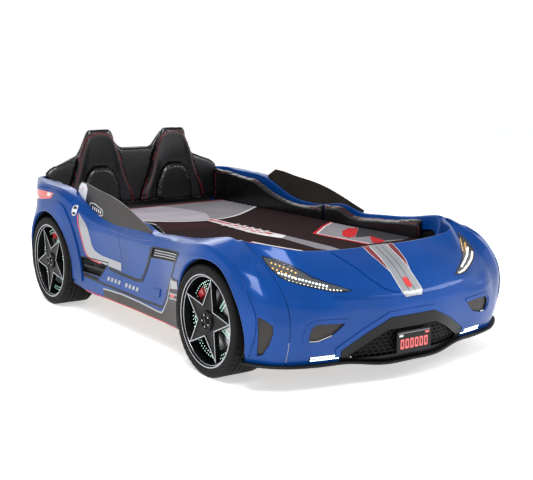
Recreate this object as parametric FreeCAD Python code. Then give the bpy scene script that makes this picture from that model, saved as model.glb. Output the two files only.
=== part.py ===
import FreeCAD, Part
import math
import os

os.makedirs("parts", exist_ok=True)

# Race-car bed. Row frame, millimetres: +Z up, floor at Z = 0, the car's front faces -Y.
# Everything on the +X side is mirrored to the -X side.

V = FreeCAD.Vector

# Mattress and timber frame
MATTRESS_WIDTH = 990.0
MATTRESS_LENGTH = 1910.0
MATTRESS_THICK = 180.0
MATTRESS_TOP = 424.0
MATTRESS_REAR_Y = 1025.0
MATTRESS_CORNER_R = 45.0
MATTRESS_FRONT_CORNER_R = 130.0
SLAT_TOP = MATTRESS_TOP - MATTRESS_THICK - 0.3
SLAT_THICK = 18.0
SLAT_WIDTH = 68.0
SLAT_COUNT = 13
RAIL_INNER_X = 502.0
RAIL_THICK = 22.0
RAIL_BOTTOM = 140.0
RAIL_TOP = 290.0
RAIL_FRONT_Y = -888.0
RAIL_REAR_Y = 1028.0
LEDGER_WIDTH = 60.0
LEDGER_HEIGHT = 34.0
FRAME_BOLT_R = 5.0
FEET_Y = (-420.0, 20.0, 480.0)
LEG_SIZE = 40.0
RAIL_FEET_Y = (-600.0, 950.0)

# Wheels
WHEEL_X = 640.0
WHEEL_Z = 218.0
FRONT_WHEEL_Y = -708.0
REAR_WHEEL_Y = 770.0
TYRE_R = 218.0
TYRE_WIDTH = 108.0
TREAD_FOOT_INNER_X = 480.0
TREAD_FOOT_TOP = 132.0
FRONT_STAR_TURN = 12.0
REAR_STAR_TURN = 45.0
RIM_R = 180.0
RIM_WALL = 7.0
TYRE_OUTER_X = WHEEL_X + 8.0
SPOKE_FACE_X = WHEEL_X - 2.0
SPOKE_THICK = 16.0
STAR_TIP_R = 168.0
STAR_VALLEY_R = 50.0
FRONT_ARCH = (-730.0, 212.0, 250.0)
REAR_ARCH = (765.0, 228.0, 239.0)
LINER_WALL = 4.0
LINER_INNER_X = 534.0
LINER_OUTER_X = 640.0
ARCH_CUT_X = 546.0

# Upholstery
PAD_INNER_X = 499.0
PAD_OUTER_X = 524.0
PAD_BOTTOM = 296.0
SKIN = 6.0
FLANGE_DRAFT = 4.0
FLANGE_DROP = 70.0


class Station:
    """One vertical section through the body ring, from the mattress opening out to the lowest edge."""

    def __init__(self, x, y, heading, crest, rows, flange=None):
        self.x = x
        self.y = y
        self.cos = math.cos(math.radians(heading))
        self.sin = math.sin(math.radians(heading))
        if flange is None:
            flange = (crest[0] + FLANGE_DRAFT, crest[1] - FLANGE_DROP)
        self.rows = [flange, crest] + rows

    def mirrored(self):
        twin = Station(-self.x, self.y, 0.0, (0.0, 0.0), [])
        twin.cos = -self.cos
        twin.sin = self.sin
        twin.rows = self.rows
        return twin

    def place(self, inset, z):
        return V(self.x - self.cos * inset, self.y - self.sin * inset, z)

    def at_depth(self, row, depth):
        """The row's (inset, z) moved below the outer surface by depth, with a mitre at each row."""
        normals = []
        for a, b in ((row - 1, row), (row, row + 1)):
            if a < 0 or b >= len(self.rows):
                continue
            outward = self.rows[a][0] - self.rows[b][0]
            rise = self.rows[b][1] - self.rows[a][1]
            length = math.hypot(outward, rise)
            normals.append((-rise / length, outward / length))
        nx = sum(n[0] for n in normals) / len(normals)
        nz = sum(n[1] for n in normals) / len(normals)
        scale = depth / (nx * nx + nz * nz)
        return (self.rows[row][0] + nx * scale, self.rows[row][1] - nz * scale)


# Plan point x, y; heading of the outward direction in degrees; crest and then six lower rows,
# each as (distance inwards from the plan point, height).
HALF_RING = [
    Station(0, -1167, -90, (232, 486), [(115, 425), (9, 330), (3, 285), (3, 243), (6, 130), (20, 84)]),
    Station(150, -1163, -90, (229, 487), [(112, 427), (10, 333), (3, 286), (6, 243), (14, 130), (28, 84)]),
    Station(280, -1150, -90, (225, 491), [(110, 428), (15, 342), (3, 295), (10, 245), (34, 136), (45, 101)]),
    Station(378, -1138, -90, (213, 503), [(111, 420), (36, 352), (4, 300), (8, 250), (36, 142), (48, 103)]),
    Station(450, -1122, -90, (230, 520), [(170, 458), (72, 380), (9, 318), (4, 250), (30, 152), (46, 105)],
            (254, 430)),
    Station(520, -1092, -90, (318, 530), [(215, 484), (99, 414), (22, 338), (2, 250), (16, 170), (35, 109)],
            (342, 430)),
    Station(598, -1044, -75, (272, 532), [(150, 489), (62, 420), (10, 345), (0, 265), (14, 170), (36, 113)],
            (296, 430)),
    Station(650, -969, -58, (230, 533), [(140, 493), (55, 446), (8, 372), (0, 270), (10, 175), (22, 121)],
            (254, 430)),
    Station(655, -815, -28, (137, 534), [(75, 507), (22, 482), (3, 432), (0, 300), (8, 185), (18, 132)],
            (161, 432)),
    Station(657, -708, 0, (122, 534), [(70, 521), (24, 507), (3, 470), (0, 330), (8, 200), (20, 140)]),
    Station(650, -560, 0, (104, 508), [(60, 505), (25, 492), (5, 450), (5, 330), (15, 200), (22, 138)]),
    Station(628, -430, 0, (80, 494), [(46, 491), (20, 476), (8, 430), (12, 320), (14, 192), (14, 126)]),
    Station(610, -300, 0, (62, 486), [(30, 481), (12, 468), (4, 430), (18, 310), (8, 190), (4, 125)]),
    Station(606, -180, 0, (58, 485), [(26, 475), (10, 463), (3, 430), (20, 310), (8, 190), (2, 124)]),
    Station(604, -95, 0, (56, 508), [(24, 471), (9, 459), (2, 430), (20, 310), (8, 190), (2, 124)]),
    Station(604, 90, 0, (56, 494), [(24, 463), (9, 452), (2, 425), (20, 310), (8, 190), (2, 123)]),
    Station(607, 250, 0, (58, 489), [(26, 464), (9, 453), (1, 425), (18, 310), (8, 190), (3, 122)]),
    Station(618, 400, 0, (66, 508), [(34, 495), (12, 475), (1, 430), (12, 315), (10, 190), (10, 122)]),
    Station(634, 500, 0, (80, 540), [(42, 535), (16, 512), (2, 455), (7, 320), (12, 200), (20, 138)]),
    Station(650, 620, 0, (98, 580), [(52, 578), (16, 556), (2, 485), (0, 335), (8, 205), (20, 150)]),
    Station(657, 770, 0, (104, 595), [(58, 593), (18, 568), (4, 492), (0, 340), (8, 220), (20, 150)]),
    Station(655, 920, 0, (103, 600), [(51, 598), (21, 575), (17, 500), (0, 350), (10, 230), (22, 170)]),
    Station(630, 1040, 22, (76, 603), [(54, 602), (46, 575), (48, 500), (6, 350), (8, 230), (24, 175)]),
    Station(580, 1128, 50, (66, 603), [(44, 602), (36, 575), (42, 500), (8, 350), (8, 230), (26, 178)]),
    Station(490, 1160, 78, (52, 602), [(32, 601), (26, 575), (32, 500), (6, 350), (8, 230), (26, 178)]),
    Station(250, 1166, 88, (54, 600), [(34, 599), (28, 574), (34, 500), (6, 350), (8, 230), (26, 178)]),
    Station(0, 1168, 90, (56, 600), [(36, 599), (30, 574), (36, 500), (6, 350), (8, 230), (26, 178)]),
]
FRONT_CENTRE = 0
HOOD_SEAM = 5
DOOR_SEAM = 15
TAIL_START = 18
REAR_SEAM = 23
REAR_CENTRE = 26
MARGIN = 3
ROWS = 8

RING = [s.mirrored() for s in reversed(HALF_RING[1:1 + MARGIN])]
RING += HALF_RING
RING += [s.mirrored() for s in reversed(HALF_RING[-1 - MARGIN:-1])]
RING_PARAMETERS = [0.0]
for before, after in zip(RING, RING[1:]):
    step = math.hypot(after.x - before.x, after.y - before.y)
    RING_PARAMETERS.append(RING_PARAMETERS[-1] + step)


def mirror(shape):
    return shape.mirror(V(0, 0, 0), V(1, 0, 0))


def save(name, shape):
    shape.exportStep("parts/" + name + ".step")


def save_pair(name, right):
    save(name + "_right", right)
    save(name + "_left", mirror(right))


def group(shapes):
    return Part.makeCompound(shapes)


def box(x0, x1, y0, y1, z0, z1):
    return Part.makeBox(x1 - x0, y1 - y0, z1 - z0, V(x0, y0, z0))


def rounded_box(x0, x1, y0, y1, z0, z1, radius):
    block = box(x0, x1, y0, y1, z0, z1)
    return block.makeFillet(radius, block.Edges)


def prism(points, offset, depth, axis):
    """A closed polygon pushed along one axis; points are the other two coordinates in X, Y, Z order."""
    corners = []
    for a, b in points:
        if axis == "X":
            corners.append(V(offset, a, b))
        elif axis == "Y":
            corners.append(V(a, offset, b))
        else:
            corners.append(V(a, b, offset))
    direction = {"X": V(depth, 0, 0), "Y": V(0, depth, 0), "Z": V(0, 0, depth)}[axis]
    face = Part.Face(Part.makePolygon(corners + corners[:1]))
    return face.extrude(direction)


def smooth_prism(points, closing, offset, depth):
    """A panel standing along X: a smooth top line through points, closed by a few straight corners."""
    curve = Part.BSplineCurve()
    curve.interpolate([V(offset, y, z) for y, z in points])
    corners = [V(offset, points[-1][0], points[-1][1])]
    corners += [V(offset, y, z) for y, z in closing]
    corners.append(V(offset, points[0][0], points[0][1]))
    edges = [curve.toShape()]
    for a, b in zip(corners, corners[1:]):
        edges.append(Part.LineSegment(a, b).toShape())
    face = Part.Face(Part.Wire(Part.__sortEdges__(edges)))
    return face.extrude(V(depth, 0, 0))


def swept(first, last, section):
    """A solid along the ring. section(station) gives the closed outline as (inset, z) pairs."""
    outlines = [section(station) for station in RING]
    spans = []
    for corner in range(len(outlines[0])):
        points = [s.place(*outline[corner]) for s, outline in zip(RING, outlines)]
        curve = Part.BSplineCurve()
        curve.interpolate(Points=points, Parameters=RING_PARAMETERS)
        start = RING_PARAMETERS[first + MARGIN]
        end = RING_PARAMETERS[last + MARGIN]
        spans.append(curve.toShape(start, end))
    faces = []
    for a, b in zip(spans, spans[1:] + spans[:1]):
        faces.append(Part.makeRuledSurface(a, b))
    for index in (first + MARGIN, last + MARGIN):
        loop = [RING[index].place(*corner) for corner in outlines[index]]
        faces.append(Part.Face(Part.makePolygon(loop + loop[:1])))
    shell = Part.Shell(faces)
    shell.sewShape()
    solid = Part.Solid(shell)
    if solid.Volume < 0:
        solid.reverse()
    return solid


def layer(first, last, outer_depth, inner_depth, top_row=0, bottom_row=ROWS - 1):
    """A skin that follows the body between two depths below its outer surface."""

    def section(station):
        rows = range(top_row, bottom_row + 1)
        outside = [station.at_depth(row, outer_depth) for row in rows]
        inside = [station.at_depth(row, inner_depth) for row in rows]
        return outside + inside[::-1]

    return swept(first, last, section)


def both_halves(right):
    return right.fuse(mirror(right)).removeSplitter()


def wheel_disc(arch, radius, x0, x1):
    return Part.makeCylinder(radius, x1 - x0, V(x0, arch[0], arch[1]), V(1, 0, 0))


# Openings in the body, each a prism. Seen from the front: x, z. From the side: y, z. From above: x, y.
HEADLIGHT = [(505, -884), (472, -921), (437, -967), (384, -1033), (345, -1063), (262, -1113), (298, -1109),
             (338, -1097), (388, -1070), (438, -1038), (474, -1011), (496, -985), (508, -945), (510, -912)]
GRILLE = [(-110, 252), (110, 252), (206, 208), (306, 146), (306, 104), (250, 82), (-250, 82), (-306, 104),
          (-306, 146), (-206, 208)]
GRILLE_INNER = [(-122, 206), (122, 206), (194, 172), (274, 122), (262, 106), (-262, 106), (-274, 122),
                (-194, 172)]
BUMPER_VENT = [(310, 251), (372, 257), (430, 259), (447, 246), (453, 220), (447, 194), (412, 192), (362, 206),
               (333, 228)]
FOG_LIGHT = [(308, 110), (308, 132), (436, 136), (436, 114)]
FENDER_VENT = [(-1020, 297), (-1041, 283), (-1058, 262), (-1058, 236), (-1045, 192), (-1022, 151), (-1004, 147),
               (-1014, 192), (-1020, 238)]
SIDE_VENT = [(-229, 429), (-490, 446), (-458, 402), (-190, 379)]
REAR_SCOOP = [(216, 288), (457, 284), (448, 212), (290, 212)]
TAIL_LIGHT = [(700, 564), (728, 528), (880, 512), (1200, 512), (1200, 562), (890, 562)]


def opening(kind, grow=0.0):
    shapes = {
        "headlight": lambda: prism(HEADLIGHT, 330, 230, "Z"),
        "grille": lambda: prism(GRILLE, -1230, 140, "Y"),
        "bumper_vent": lambda: prism(BUMPER_VENT, -1230, 180, "Y"),
        "fog_light": lambda: prism(FOG_LIGHT, -1230, 180, "Y"),
        "fender_vent": lambda: prism(FENDER_VENT, 560, 160, "X"),
        "side_vent": lambda: prism(SIDE_VENT, 560, 160, "X"),
        "rear_scoop": lambda: prism(REAR_SCOOP, 560, 160, "X"),
        "tail_light": lambda: prism(TAIL_LIGHT, 400, 300, "X"),
    }
    shape = shapes[kind]()
    if grow:
        shape = shape.makeOffsetShape(grow, 0.01, join=2)
    return shape


CLEARANCE = 0.6

# Side windows, standing in a slot along the top of the door
WINDOW_TOP = [(608, 590), (540, 627), (480, 624), (370, 609), (232, 594), (100, 571), (-20, 538), (-112, 509),
              (-184, 487)]
WINDOW_FOOT = [(-165, 458), (250, 455), (400, 482), (500, 520), (596, 560)]
WINDOW_THICK = 4.0
WINDOW_X = 560.0
WINDOW_YAW = 1.2


def window_panel(gap=0.0):
    panel = prism(WINDOW_TOP + WINDOW_FOOT, WINDOW_X - gap, WINDOW_THICK + 2 * gap, "X")
    panel.rotate(V(WINDOW_X, WINDOW_TOP[0][0], 0), V(0, 0, 1), WINDOW_YAW)
    return panel


save_pair("side_window", window_panel())

# Body skins
front_half = layer(FRONT_CENTRE, HOOD_SEAM, 0.0, SKIN)
for kind in ("headlight", "bumper_vent", "fog_light", "grille"):
    front_half = front_half.cut(opening(kind, CLEARANCE))
save("front_shell", both_halves(front_half))

front_side = layer(HOOD_SEAM, DOOR_SEAM, 0.0, SKIN)
front_side = front_side.cut(wheel_disc(FRONT_ARCH, FRONT_ARCH[2], ARCH_CUT_X, 700))
for kind in ("fender_vent", "side_vent"):
    front_side = front_side.cut(opening(kind, CLEARANCE))
front_side = front_side.cut(window_panel(CLEARANCE))
save_pair("front_side_panel", front_side)

rear_side = layer(DOOR_SEAM, REAR_SEAM, 0.0, SKIN)
rear_side = rear_side.cut(wheel_disc(REAR_ARCH, REAR_ARCH[2], ARCH_CUT_X, 700))
for kind in ("rear_scoop", "tail_light"):
    rear_side = rear_side.cut(opening(kind, CLEARANCE))
rear_side = rear_side.cut(window_panel(CLEARANCE))
save_pair("rear_side_panel", rear_side)

BUTTON_X = 330.0
BUTTON_Z = 330.0
BUTTON_R = 12.0
BUTTON_LENGTH = 26.0
BUTTON_CLEARANCE = 0.6
GLAND_X = 372.0
GLAND_R = 8.0
rear_half = layer(REAR_SEAM, REAR_CENTRE, 0.0, SKIN).cut(opening("tail_light", CLEARANCE))
rear_shell = both_halves(rear_half)
button_hole = Part.makeCylinder(BUTTON_R + BUTTON_CLEARANCE, 80, V(BUTTON_X, 1120, BUTTON_Z), V(0, 1, 0))
gland_hole = Part.makeCylinder(GLAND_R + 1.0, 80, V(GLAND_X, 1120, BUTTON_Z), V(0, 1, 0))
save("rear_shell", rear_shell.cut(button_hole).cut(gland_hole))

# Lights, vents and trims that follow the body
LENS = 3.0
HOUSING_DEPTH = 30.0
headlight_lens = layer(FRONT_CENTRE, HOOD_SEAM, 0.5, 0.5 + LENS, 1, 4).common(opening("headlight"))
headlight_housing = layer(FRONT_CENTRE, HOOD_SEAM, 1.0 + LENS, HOUSING_DEPTH, 1, 4)
save_pair("headlight_lens", headlight_lens)
save_pair("headlight_housing", headlight_housing.common(opening("headlight")))

fog = layer(FRONT_CENTRE, HOOD_SEAM, 1.0, 14.0, 5, 7).common(opening("fog_light"))
save("fog_lights", group([fog, mirror(fog)]))

vent = layer(FRONT_CENTRE, HOOD_SEAM, 8.0, 14.0, 3, 7).common(opening("bumper_vent"))
save("bumper_vents", group([vent, mirror(vent)]))

fender_vent = layer(HOOD_SEAM, HOOD_SEAM + 4, 6.0, 12.0, 3, 7).common(opening("fender_vent"))
save("fender_vents", group([fender_vent, mirror(fender_vent)]))

side_vent = layer(HOOD_SEAM + 5, DOOR_SEAM, 2.0, 10.0, 2, 6).common(opening("side_vent"))
save("side_vents", group([side_vent, mirror(side_vent)]))

scoop = layer(DOOR_SEAM, TAIL_START + 1, 3.0, 12.0, 3, 7).common(opening("rear_scoop"))
save("rear_scoops", group([scoop, mirror(scoop)]))

tail = layer(TAIL_START, REAR_SEAM + 1, 0.5, 12.0, 2, 6).common(opening("tail_light"))
save_pair("tail_light", tail)


SILL_DROP = 14.0


def sill_section(station):
    top = station.rows[6]
    low = station.rows[7]
    lift = SILL_DROP
    share = lift / (top[1] - low[1])
    edge = top[0] + share * (low[0] - top[0])
    return [(edge - 1.0, top[1] - lift), (edge - 6.0, top[1] - lift),
            (low[0] - 6.0, low[1] - 2.0), (low[0] + 12.0, low[1] - 2.0), (low[0] + 12.0, low[1] - 0.6),
            (low[0] - 1.0, low[1] - 0.6)]


sill = swept(HOOD_SEAM + 7, TAIL_START - 1, sill_section)
save("sills", group([sill, mirror(sill)]))


def splitter_section(station):
    low = station.rows[7]
    return [(low[0] - 21.5, low[1] - 4.0), (low[0] - 18.0, low[1] - 0.5), (low[0] + 46.0, low[1] - 0.5),
            (low[0] + 46.0, low[1] - 10.0), (low[0] - 18.0, low[1] - 10.0)]


save("front_splitter", both_halves(swept(FRONT_CENTRE, HOOD_SEAM + 2, splitter_section)))

# Grille
GRILLE_ROWS = (4, 7)
frame_skin = both_halves(layer(FRONT_CENTRE, HOOD_SEAM, -2.0, 14.0, *GRILLE_ROWS))
frame_skin = frame_skin.common(prism(GRILLE, -1230, 140, "Y"))
save("grille_frame", frame_skin.cut(prism(GRILLE_INNER, -1230, 140, "Y")))

HEX_PITCH = 25.0
HEX_R = 12.0
HEX_SQUASH = 0.62
HEX_ROW_PITCH = 15.0
HEX_FIRST_Z = 112.0
GRILLE_ROW_COUNT = 7
GRILLE_COLUMN_COUNT = 23
mesh_skin = both_halves(layer(FRONT_CENTRE, HOOD_SEAM, 6.0, 9.0, *GRILLE_ROWS))
mesh_skin = mesh_skin.common(prism(GRILLE_INNER, -1230, 140, "Y"))
holes = []
for row in range(GRILLE_ROW_COUNT):
    for column in range(GRILLE_COLUMN_COUNT):
        cx = (column - GRILLE_COLUMN_COUNT // 2 + 0.5 * (row % 2)) * HEX_PITCH
        cz = HEX_FIRST_Z + row * HEX_ROW_PITCH
        corners = []
        for k in range(6):
            angle = math.radians(60 * k + 30)
            corners.append((cx + HEX_R * math.cos(angle), cz + HEX_R * HEX_SQUASH * math.sin(angle)))
        holes.append(prism(corners, -1230, 140, "Y"))
save("grille_mesh", mesh_skin.cut(holes))

PLATE_HALF = 87.0
plate = rounded_box(-PLATE_HALF, PLATE_HALF, -1167.5, -1163.5, 110, 193, 1.5)
save("number_plate", plate)

# Wheels
tyre_inner_x = TYRE_OUTER_X - TYRE_WIDTH
SHOULDER = 12.0
tyre_outline = [(tyre_inner_x, RIM_R), (tyre_inner_x, TYRE_R - SHOULDER), (tyre_inner_x + SHOULDER, TYRE_R),
                (TYRE_OUTER_X - SHOULDER, TYRE_R), (TYRE_OUTER_X, TYRE_R - SHOULDER), (TYRE_OUTER_X, RIM_R)]
# Below the frame the tread carries on inwards, as a curved foot that stands on the floor.
tread_foot_outline = [(TREAD_FOOT_INNER_X, RIM_R), (TREAD_FOOT_INNER_X, TYRE_R - SHOULDER),
                      (TREAD_FOOT_INNER_X + SHOULDER, TYRE_R), (tyre_inner_x + SHOULDER + 1, TYRE_R),
                      (tyre_inner_x + SHOULDER + 1, RIM_R)]


def revolve_about_wheel(outline, wheel_y):
    corners = [V(x, wheel_y, WHEEL_Z + r) for x, r in outline]
    face = Part.Face(Part.makePolygon(corners + corners[:1]))
    return face.revolve(V(0, wheel_y, WHEEL_Z), V(1, 0, 0), 360)


def star(wheel_y, turn):
    corners = []
    for k in range(10):
        radius = STAR_TIP_R if k % 2 == 0 else STAR_VALLEY_R
        angle = math.radians(36 * k + 90 + turn)
        corners.append((wheel_y + radius * math.cos(angle), WHEEL_Z + radius * math.sin(angle)))
    return prism(corners, SPOKE_FACE_X - SPOKE_THICK, SPOKE_THICK, "X")


def rim(wheel_y, turn):
    rim_outer = RIM_R - 0.5
    barrel = [(tyre_inner_x + 2, rim_outer), (tyre_inner_x + 2, rim_outer - RIM_WALL),
              (TYRE_OUTER_X - 3, rim_outer - RIM_WALL), (TYRE_OUTER_X - 3, rim_outer)]
    ring = revolve_about_wheel(barrel, wheel_y)
    bridge = [(SPOKE_FACE_X - SPOKE_THICK, STAR_TIP_R - 3), (SPOKE_FACE_X - SPOKE_THICK, rim_outer - 2),
              (SPOKE_FACE_X, rim_outer - 2), (SPOKE_FACE_X, STAR_TIP_R - 3)]
    hub = Part.makeCylinder(46, SPOKE_THICK + 6, V(SPOKE_FACE_X - SPOKE_THICK, wheel_y, WHEEL_Z), V(1, 0, 0))
    return ring.fuse([revolve_about_wheel(bridge, wheel_y), star(wheel_y, turn), hub])


DISC_R = 118.0
DISC_X = SPOKE_FACE_X - SPOKE_THICK - 22.0
LED_RING_R = 150.0
LED_RING_SIZE = 8.0
discs = []
calipers = []
leds = []
liners = []
WHEEL_SETS = (("front", FRONT_WHEEL_Y, FRONT_ARCH, FRONT_STAR_TURN),
              ("rear", REAR_WHEEL_Y, REAR_ARCH, REAR_STAR_TURN))
for place, wheel_y, arch, turn in WHEEL_SETS:
    tread_foot = revolve_about_wheel(tread_foot_outline, wheel_y)
    tread_foot = tread_foot.common(box(400, 700, wheel_y - 300, wheel_y + 300, -20, TREAD_FOOT_TOP))
    save_pair("tyre_" + place, revolve_about_wheel(tyre_outline, wheel_y).fuse(tread_foot).removeSplitter())
    save_pair("rim_" + place, rim(wheel_y, turn))
    centre = V(DISC_X, wheel_y, WHEEL_Z)
    disc = Part.makeCylinder(DISC_R, 6, centre, V(1, 0, 0))
    disc = disc.fuse(Part.makeCylinder(44, 21.5, centre, V(1, 0, 0)))
    discs.append(disc)
    caliper = Part.makeCylinder(132, 14, V(DISC_X + 7, wheel_y, WHEEL_Z), V(1, 0, 0), 70)
    caliper = caliper.cut(Part.makeCylinder(84, 14, V(DISC_X + 7, wheel_y, WHEEL_Z), V(1, 0, 0)))
    calipers.append(caliper)
    led_x = SPOKE_FACE_X - SPOKE_THICK - 9.0
    led_outline = [(led_x, LED_RING_R), (led_x, LED_RING_R + LED_RING_SIZE),
                   (led_x + 5, LED_RING_R + LED_RING_SIZE), (led_x + 5, LED_RING_R)]
    leds.append(revolve_about_wheel(led_outline, wheel_y))
    liner = wheel_disc(arch, arch[2] - 1, LINER_INNER_X, LINER_OUTER_X)
    liner = liner.cut(wheel_disc(arch, arch[2] - 1 - LINER_WALL, LINER_INNER_X + LINER_WALL, LINER_OUTER_X + 1))
    liners.append(liner.cut(box(500, 660, arch[0] - 300, arch[0] + 300, -60, 150)))
save("brake_discs", group(discs + [mirror(d) for d in discs]))
save("calipers", group(calipers + [mirror(c) for c in calipers]))
save("wheel_leds", group(leds + [mirror(item) for item in leds]))
save("wheel_liners", group(liners + [mirror(item) for item in liners]))


# Upholstery: headboard, seats, side pads and mattress
HEADBOARD_FRONT_Y = 1096.0
HEADBOARD_THICK = 6.0
BOARD_OUTLINE = [(488, 150), (488, 612), (478, 640), (340, 700), (318, 735), (282, 815), (165, 815),
                 (100, 735)]
PAD_OUTLINE = [(488, 606), (519, 614), (497, 646), (352, 705), (332, 742), (292, 826), (158, 826), (92, 744)]


def symmetric(points):
    return points + [(-x, z) for x, z in reversed(points)]


panel_face = symmetric(BOARD_OUTLINE)
panel = prism(panel_face, HEADBOARD_FRONT_Y, HEADBOARD_THICK, "Y")
control_gap = box(BUTTON_X - 42, GLAND_X + 42, 1060, 1150, BUTTON_Z - 37, BUTTON_Z + 37)
save("headboard_panel", panel.cut(control_gap))
pad_face = symmetric([(488, 428)] + PAD_OUTLINE)
save("headboard_pad", prism(pad_face, HEADBOARD_FRONT_Y - 23.0, 22.7, "Y"))
SEAT_CENTRE_X = 224.0
SEAT_HALF = [(212, 428), (196, 500), (178, 540), (160, 582), (142, 640), (130, 690), (102, 760), (76, 826), (58, 843),
             (-58, 843), (-76, 826), (-102, 760), (-130, 690), (-142, 640), (-160, 582), (-178, 540), (-196, 500),
             (-212, 428)]
seat = prism([(SEAT_CENTRE_X + x, z) for x, z in SEAT_HALF], 1046, 26.7, "Y")
save_pair("seat_back", seat)
LUMBAR = [(118, 430), (112, 530), (78, 606), (38, 640), (-38, 640), (-78, 606), (-112, 530), (-118, 430)]
lumbar = prism([(SEAT_CENTRE_X + x, z) for x, z in LUMBAR], 1030, 15.7, "Y")
save_pair("lumbar_pad", lumbar)

REAR_PAD_TOP = [(1042, 596), (875, 594), (760, 582), (660, 576), (554, 545), (405, 504), (261, 486), (124, 487),
                (54, 496)]
FRONT_PAD_TOP = [(50, 497), (-40, 506), (-95, 506), (-180, 482), (-325, 484), (-480, 494), (-560, 503),
                 (-655, 508)]
PAD_DEPTH = PAD_OUTER_X - PAD_INNER_X
rear_pad = smooth_prism(REAR_PAD_TOP, [(54, PAD_BOTTOM), (1042, PAD_BOTTOM)], PAD_INNER_X, PAD_DEPTH)
front_pad = smooth_prism(FRONT_PAD_TOP, [(-655, PAD_BOTTOM), (50, PAD_BOTTOM)], PAD_INNER_X, PAD_DEPTH)
save_pair("side_pad_rear", rear_pad)
save_pair("side_pad_front", front_pad)

mattress = box(-MATTRESS_WIDTH / 2, MATTRESS_WIDTH / 2, MATTRESS_REAR_Y - MATTRESS_LENGTH, MATTRESS_REAR_Y,
               MATTRESS_TOP - MATTRESS_THICK, MATTRESS_TOP)
uprights = [e for e in mattress.Edges if abs(e.tangentAt(e.FirstParameter).z) > 0.9]
rear_uprights = [e for e in uprights if e.CenterOfMass.y > 0]
mattress = mattress.makeFillet(MATTRESS_CORNER_R, rear_uprights)
uprights = [e for e in mattress.Edges if abs(e.tangentAt(e.FirstParameter).z) > 0.9]
front_uprights = [e for e in uprights if e.CenterOfMass.y < MATTRESS_REAR_Y - MATTRESS_LENGTH + 1]
mattress = mattress.makeFillet(MATTRESS_FRONT_CORNER_R, front_uprights)
save("mattress", mattress)

# Timber frame
rail = box(RAIL_INNER_X, RAIL_INNER_X + RAIL_THICK, RAIL_FRONT_Y, RAIL_REAR_Y, RAIL_BOTTOM, RAIL_TOP)
bolt_places = [(y, z) for y in (RAIL_FRONT_Y - 11, RAIL_REAR_Y + 11) for z in (180.0, 250.0)]
BOARD_THICK = 22.0
BOARD_HALF = RAIL_INNER_X + RAIL_THICK
foot_board = box(-BOARD_HALF, BOARD_HALF, RAIL_FRONT_Y - BOARD_THICK, RAIL_FRONT_Y, RAIL_BOTTOM, 400)
head_rail = box(-BOARD_HALF, BOARD_HALF, RAIL_REAR_Y, RAIL_REAR_Y + BOARD_THICK, RAIL_BOTTOM, RAIL_TOP)
BOLT_LENGTH = 60.0
BOLT_X = RAIL_INNER_X + RAIL_THICK / 2
bolts = []
for bolt_z in (180.0, 250.0):
    front_bolt = Part.makeCylinder(FRAME_BOLT_R, BOLT_LENGTH, V(BOLT_X, RAIL_FRONT_Y - BOARD_THICK, bolt_z),
                                   V(0, 1, 0))
    front_head = Part.makeCylinder(9, 5, V(BOLT_X, RAIL_FRONT_Y - BOARD_THICK - 5, bolt_z), V(0, 1, 0))
    rear_bolt = Part.makeCylinder(FRAME_BOLT_R, BOLT_LENGTH, V(BOLT_X, RAIL_REAR_Y + BOARD_THICK, bolt_z),
                                  V(0, -1, 0))
    rear_head = Part.makeCylinder(9, 5, V(BOLT_X, RAIL_REAR_Y + BOARD_THICK + 5, bolt_z), V(0, -1, 0))
    bolts += [front_bolt.fuse(front_head), rear_bolt.fuse(rear_head)]
bolts += [mirror(bolt) for bolt in bolts]
save("frame_bolts", group(bolts))
save_pair("side_rail", rail.cut(bolts[:4]))
save("foot_board", foot_board.cut(bolts))
save("head_rail", head_rail.cut(bolts))

slat_bottom = SLAT_TOP - SLAT_THICK
slat_gap = (RAIL_REAR_Y - RAIL_FRONT_Y - SLAT_COUNT * SLAT_WIDTH) / (SLAT_COUNT + 1)
slats = []
for k in range(SLAT_COUNT):
    slat_y = RAIL_FRONT_Y + slat_gap + k * (SLAT_WIDTH + slat_gap)
    slats.append(box(-RAIL_INNER_X + 1, RAIL_INNER_X - 1, slat_y, slat_y + SLAT_WIDTH, slat_bottom, SLAT_TOP))
save("slats", group(slats))

ledger = box(RAIL_INNER_X - LEDGER_WIDTH, RAIL_INNER_X, RAIL_FRONT_Y + 1, RAIL_REAR_Y - 1,
             slat_bottom - LEDGER_HEIGHT, slat_bottom)
save("slat_ledgers", group([ledger, mirror(ledger)]))

BEAM_HALF = 20.0
beam_bottom = slat_bottom - 45.0
save("centre_beam", box(-BEAM_HALF, BEAM_HALF, RAIL_FRONT_Y + 1, RAIL_REAR_Y - 1, beam_bottom, slat_bottom))
legs = []
for leg_y in FEET_Y:
    legs.append(box(-LEG_SIZE / 2, LEG_SIZE / 2, leg_y, leg_y + LEG_SIZE, 0, beam_bottom))
save("centre_legs", group(legs))
feet = []
for foot_y in RAIL_FEET_Y:
    foot = box(RAIL_INNER_X - LEDGER_WIDTH, TREAD_FOOT_INNER_X - 4, foot_y, foot_y + 60, 0,
               slat_bottom - LEDGER_HEIGHT)
    feet += [foot, mirror(foot)]
save("rail_feet", group(feet))

BRACKET_TOP = 190.0
brackets = []
for bracket_y in (-340.0, -140.0, 140.0, 340.0):
    arm = box(RAIL_INNER_X + RAIL_THICK, 578, bracket_y, bracket_y + 40, BRACKET_TOP - 4, BRACKET_TOP)
    leg = box(RAIL_INNER_X + RAIL_THICK, RAIL_INNER_X + RAIL_THICK + 4, bracket_y, bracket_y + 40,
              BRACKET_TOP - 4, BRACKET_TOP + 50)
    tab = box(574, 578, bracket_y, bracket_y + 40, BRACKET_TOP - 4, BRACKET_TOP + 40)
    bracket = arm.fuse([leg, tab])
    brackets += [bracket, mirror(bracket)]
save("shell_brackets", group(brackets))

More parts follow.
